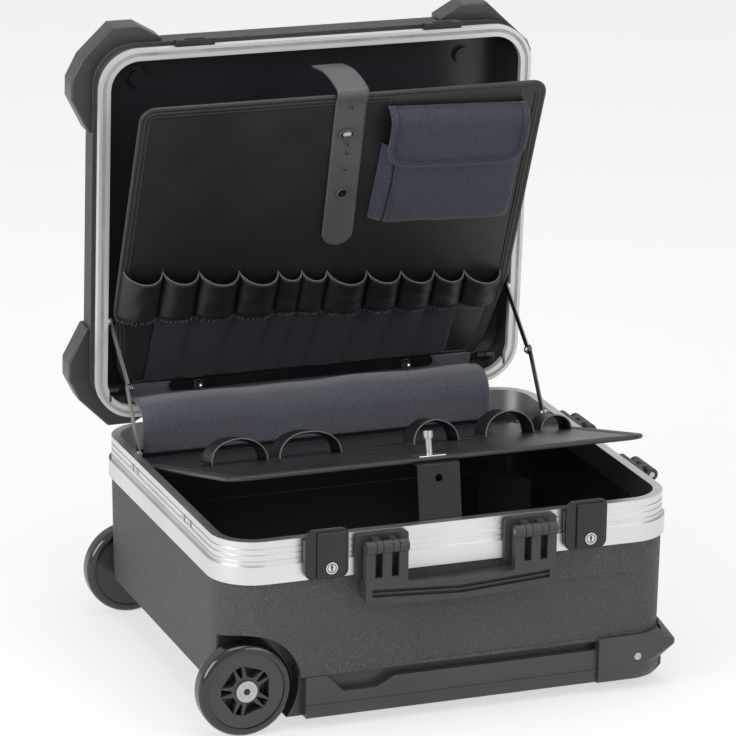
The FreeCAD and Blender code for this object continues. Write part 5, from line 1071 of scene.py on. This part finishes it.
        # The darker pocket-leather finish paints the shade strip above the flap
        hem = keep_piece("pouch_flap_hem_painted_shade", verts, grid_faces(len(rows), steps + 1), "pouch_cover",
                         "cloth")
        thicken(hem, 0.0005, 0.0)


class CaseBar(bpy.types.Operator):
    """Finish the clamp bar, its two turn buttons and the strap's stud"""
    bl_idname = "toolcase.bar"
    bl_label = "Clamp bar"

    def execute(self, context):
        moulded("clamp_bar", 0.0009)
        moulded("turn_button_left", 0.0006)
        moulded("turn_button_right", 0.0006)
        moulded("strap_stud", 0.0008, "steel")
        return {"FINISHED"}


class CaseStrap(bpy.types.Operator):
    """Hang the grey strap from the lid over the upper board's top, with its holes' rings"""
    bl_idname = "toolcase.strap"
    bl_label = "Strap"

    def execute(self, context):
        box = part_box("strap")
        low = on_upper(0, 0.1825, 0.0042)
        turn = on_upper(0, strap_turn, 0.0042)
        lift = on_upper(0, 0.3865, 0.0056)
        crest = on_upper(0, 0.3905, -0.0040)
        root = Vector((0, box[1].y - 0.002, box[1].z - 0.004))
        sag = (crest + root) / 2 + Vector((0, -0.002, 0.005))
        points = smooth_path([(p.y, p.z) for p in (root, sag, crest, lift, turn)], 8)[:-1]
        shares = [0.91 * k / 24 for k in range(25)]
        shares += [0.91 + 0.09 * math.sin(math.pi * k / 28) for k in range(1, 15)]
        drifts = [0.0] * len(points) + [0.0105 * share for share in shares]
        points += [Vector((p.y, p.z)) for p in (turn + (low - turn) * share for share in shares)]
        half_wide, round_off, columns = 0.01775, 0.0165, 12
        verts = []
        for i, point in enumerate(points):
            left = (points[-1] - point).length
            wide = half_wide
            if left < round_off:
                wide = half_wide * math.sqrt(max(0.004, 1 - ((round_off - left) / round_off) ** 2))
            way = way_at(points, i)
            out = Vector((0, -way.y, way.x))
            for k in range(columns + 1):
                t = 2 * k / columns - 1
                rise = 0.0004 * (1 - t * t) + 0.0016 * math.sin(left * 24) * (left < 0.13)
                verts.append(Vector((strap_middle + drifts[i] + wide * t, point.x, point.y)) -
                             out * rise * 0.6)
        band = keep_piece("strap_band", verts, grid_faces(len(points), columns + 1), None, "strap")
        thicken(band, 0.0022, 1.0)
        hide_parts("strap")
        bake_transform(band)
        self.rings()
        return {"FINISHED"}

    def rings(self):
        """Holes with pressed rims down the strap, dark discs of painted shade in them, and the oval plate
        round the stud.
        """
        plate, holes = (0.334, strap_middle, 0.0085, 0.0066, 0.0011), (0.369, 0.320, 0.309, 0.287)
        drifted = {up: strap_middle + strap_drift * (strap_turn - up) for up in (0.255, *holes)}
        rims = [plate, (0.255, drifted[0.255], 0.0060, 0.0060, 0.0012)]
        rims += [(up, drifted[up], 0.0018, 0.0018, 0.0005) for up in holes]
        verts, faces = [], []
        for up, middle, wide, tall, thick in rims:
            add_rim(verts, faces, on_upper(middle, up, 0.0066), upper_up, wide, tall, thick,
                    upper_out * thick, 24)
        keep_piece("strap_rims", verts, faces, "upper_pallet", "strap")
        # Dark discs in the holes: painted shade where the holes show the board below
        verts, faces = [], []
        for up, middle in drifted.items():
            start = len(verts)
            radius = 0.0052 if up == 0.255 else 0.0015
            for depth, share in ((0.0069, 1.0), (0.0068, 0.6), (0.0067, 0.01)):
                verts.extend(on_upper(middle + radius * share * c, up + radius * share * s, depth)
                             for c, s in circle(16))
            faces.extend(grid_faces(3, 16, True, start))
        keep_piece("strap_hole_shade", verts, faces, "upper_pallet", "lock_black")


class CaseFelt(bpy.types.Operator):
    """Drape the felt panel from the base over the rim to the clamp bar"""
    bl_idname = "toolcase.felt"
    bl_label = "Felt panel"

    def execute(self, context):
        bar = on_upper(0, 0.0085, 0.0036)
        fold = on_upper(0, -0.0060, 0.0036)
        path = [(0.1984, 0.1660), (0.1983, 0.1850), (0.1990, 0.2000), (0.2050, 0.2105), (0.2180, 0.2172),
                (0.2380, 0.2170), (0.2540, 0.2125), (fold.y, fold.z), (bar.y, bar.z)]
        points = smooth_path(path, 5)
        wide, columns = 0.409, 60
        verts = []
        for i, point in enumerate(points):
            share = i / (len(points) - 1)
            way = way_at(points, i)
            out = Vector((0, -way.y, way.x))
            free = math.sin(math.pi * share) ** 0.7
            for k in range(columns + 1):
                x = -wide / 2 + wide * k / columns
                wave = wander(x, share * 0.04, 0.1, 16, 0.0026) * free
                verts.append(Vector((x, point.x, point.y)) + out * wave)
        felt = keep_piece("felt_panel_cloth", verts, turned(grid_faces(len(points), columns + 1)), None,
                          "felt")
        thicken(felt, context.scene.case_sizes.felt_cloth, 0.0)
        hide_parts("felt_panel")
        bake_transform(felt)
        return {"FINISHED"}


class CaseLoops(bpy.types.Operator):
    """Sew the arched tool loops along the lower board"""
    bl_idname = "toolcase.loops"
    bl_label = "Tool loops"

    def execute(self, context):
        middle, width, base = -lower_length * 0.52, 0.034, 0.0021
        feet = [(left * board_half, right * board_half) for left, right in
                ((-0.83, -0.56), (-0.5, -0.2), (0.16, 0.38), (0.52, 0.76), (0.8, 0.95))]
        rows, arc = 9, 19
        columns = [(feet[0][0], 0.0)]
        for left, right in feet:
            rise = min(0.027, (right - left) / 2) - 0.0012
            for k in range(arc):
                angle = math.pi * (1 - k / (arc - 1))
                columns.append(((left + right) / 2 + (right - left) / 2 * math.cos(angle),
                                rise * math.sin(angle) ** 0.9))
        verts = []
        for r in range(rows):
            v = r / (rows - 1)
            for x, rise in columns:
                pull = 0.0022 * math.sin(math.pi * v) * min(1.0, rise / 0.01)
                fold = wander(x, v * 0.03, 0.6, 45, 0.0010) * min(1.0, rise / 0.006)
                verts.append(on_lower(x, middle + width * v, base + max(0.0, rise - pull + fold)))
        loops = keep_piece("tool_loop_bands", verts, grid_faces(rows, len(columns)), "lower_pallet",
                           "cloth")
        thicken(loops, 0.0017, 0.0)
        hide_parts("tool_loops")
        cords, cord_faces = [], []
        for row in (0, rows - 1):
            for loop in range(len(feet)):
                low = row * len(columns) + 1 + loop * arc
                add_cord(cords, cord_faces, verts[low:low + arc], lower_back, 0.00060)
        keep_piece("tool_loop_edging", cords, cord_faces, "lower_pallet", "edging")
        sew("tool_loop_stitches",
            [([on_lower(x, middle + 0.002, base + 0.0012),
               on_lower(x, middle + width - 0.002, base + 0.0012)], lower_out)
             for left, right in feet for x in (left - 0.0022, right + 0.0022)], "lower_pallet")
        return {"FINISHED"}


class CaseStudio(bpy.types.Operator):
    """Set the pale floor, the soft lamps and the camera"""
    bl_idname = "toolcase.studio"
    bl_label = "Studio"

    def execute(self, context):
        scene = context.scene
        scene.view_settings.view_transform = "Standard"
        reach, level, white = 14, -0.0116, (1, 1, 1, 1)
        rim = [(reach * c, reach * s, level) for c, s in circle(48)]
        mesh = bpy.data.meshes.new("floor")
        mesh.from_pydata(rim, [], [tuple(range(len(rim)))])
        floor = bpy.data.objects.new("floor", mesh)
        scene.collection.objects.link(floor)
        paint = bpy.data.materials.new("Pale floor")
        paint.use_nodes = True
        tree = paint.node_tree
        shader = tree.nodes["Principled BSDF"]
        shader.inputs["Base Color"].default_value = (0.86, 0.86, 0.86, 1)
        shader.inputs["Roughness"].default_value = 0.9
        rays = tree.nodes.new("ShaderNodeLightPath").outputs
        seen = maths(tree, "MAXIMUM", rays["Is Camera Ray"],
                     maths(tree, "MAXIMUM", rays["Is Glossy Ray"], rays["Is Transmission Ray"]))
        glow = tree.nodes.new("ShaderNodeEmission")
        glow.inputs["Color"].default_value = white
        blend = tree.nodes.new("ShaderNodeMixShader")
        for i, result in enumerate((times(tree, seen, 0.62), shader.outputs[0], glow.outputs[0])):
            tree.links.new(result, blend.inputs[i])
        tree.links.new(blend.outputs[0], tree.nodes["Material Output"].inputs[0])
        mesh.materials.append(paint)
        self.light(scene, white)
        self.camera(scene)
        return {"FINISHED"}

    def light(self, scene, white):
        """An even pale sky and three soft boxes."""
        scene.world = bpy.data.worlds.new("Studio sky")
        scene.world.use_nodes = True
        tree = scene.world.node_tree
        sky = tree.nodes["Background"].inputs
        rays = tree.nodes.new("ShaderNodeLightPath").outputs
        seen = maths(tree, "MAXIMUM", rays["Is Camera Ray"], rays["Is Transmission Ray"])
        sky["Color"].default_value = white
        tree.links.new(spread(tree, seen, 0.0, 1.0, 0.62, 1.0), sky["Strength"])
        aim = Vector((0, 0, 0.25))
        for name, place, size, power in (("left box", (-3.1, -0.9, 1.7), 2.0, 62),
                                         ("front box", (1.7, -3.0, 1.6), 1.8, 22),
                                         ("top box", (0.2, -0.2, 3.4), 2.4, 50)):
            lamp = bpy.data.lights.new(name, "AREA")
            lamp.shape = "SQUARE"
            lamp.size = size
            lamp.energy = power
            item = bpy.data.objects.new(name, lamp)
            item.location = place
            item.rotation_euler = (aim - Vector(place)).to_track_quat("-Z", "Y").to_euler()
            scene.collection.objects.link(item)

    def camera(self, scene):
        """The camera at the photograph's angle."""
        turn, rise, roll = math.radians(-20.786), math.radians(16.891), math.radians(0.716)
        aim, distance, aside, above = Vector((0, 0, 0.245)), 4.419, -0.015591, 0.054747
        out = Vector((math.sin(turn) * math.cos(rise), -math.cos(turn) * math.cos(rise), math.sin(rise)))
        level = (-out).cross(upright).normalized()
        up = level.cross(-out)
        right_rolled = level * math.cos(roll) + up * math.sin(roll)
        up_rolled = -level * math.sin(roll) + up * math.cos(roll)
        place = aim + out * distance + right_rolled * aside + up_rolled * above
        lens = bpy.data.cameras.new("camera")
        lens.sensor_width = 36
        lens.lens = 202.3
        item = bpy.data.objects.new("camera", lens)
        scene.collection.objects.link(item)
        axes = Matrix((right_rolled, up_rolled, out)).transposed().to_4x4()
        item.matrix_world = Matrix.Translation(place) @ axes
        scene.camera = item


class CasePanel(bpy.types.Panel):
    bl_idname = "VIEW3D_PT_toolcase"
    bl_label = "Tool Case"
    bl_space_type = "VIEW_3D"
    bl_region_type = "UI"
    bl_category = "Tool Case"

    def draw(self, context):
        for item in steps_in_order:
            self.layout.operator(item.bl_idname)
        for group in (context.scene.case_sizes, context.scene.case_colours):
            for name in group.bl_rna.properties.keys():
                if name not in ("rna_type", "name"):
                    self.layout.prop(group, name)


steps_in_order = (CaseShells, CaseBands, CaseKnuckles, CaseLocks, CaseHandles, CaseWheels, CaseBoards,
                  CasePockets, CasePouch, CaseBar, CaseStrap, CaseFelt, CaseLoops, CaseStudio)


def register():
    for item in (CaseSizes, CaseColours, *steps_in_order, CasePanel):
        bpy.utils.register_class(item)
    bpy.types.Scene.case_sizes = bpy.props.PointerProperty(type=CaseSizes)
    bpy.types.Scene.case_colours = bpy.props.PointerProperty(type=CaseColours)


def unregister():
    del bpy.types.Scene.case_colours
    del bpy.types.Scene.case_sizes
    for item in reversed((CaseSizes, CaseColours, *steps_in_order, CasePanel)):
        bpy.utils.unregister_class(item)


def main():
    register()
    make_finishes(bpy.context.scene.case_colours)
    for item in steps_in_order:
        area, name = item.bl_idname.split(".")
        getattr(getattr(bpy.ops, area), name)()


if __name__ == "__main__":
    main()
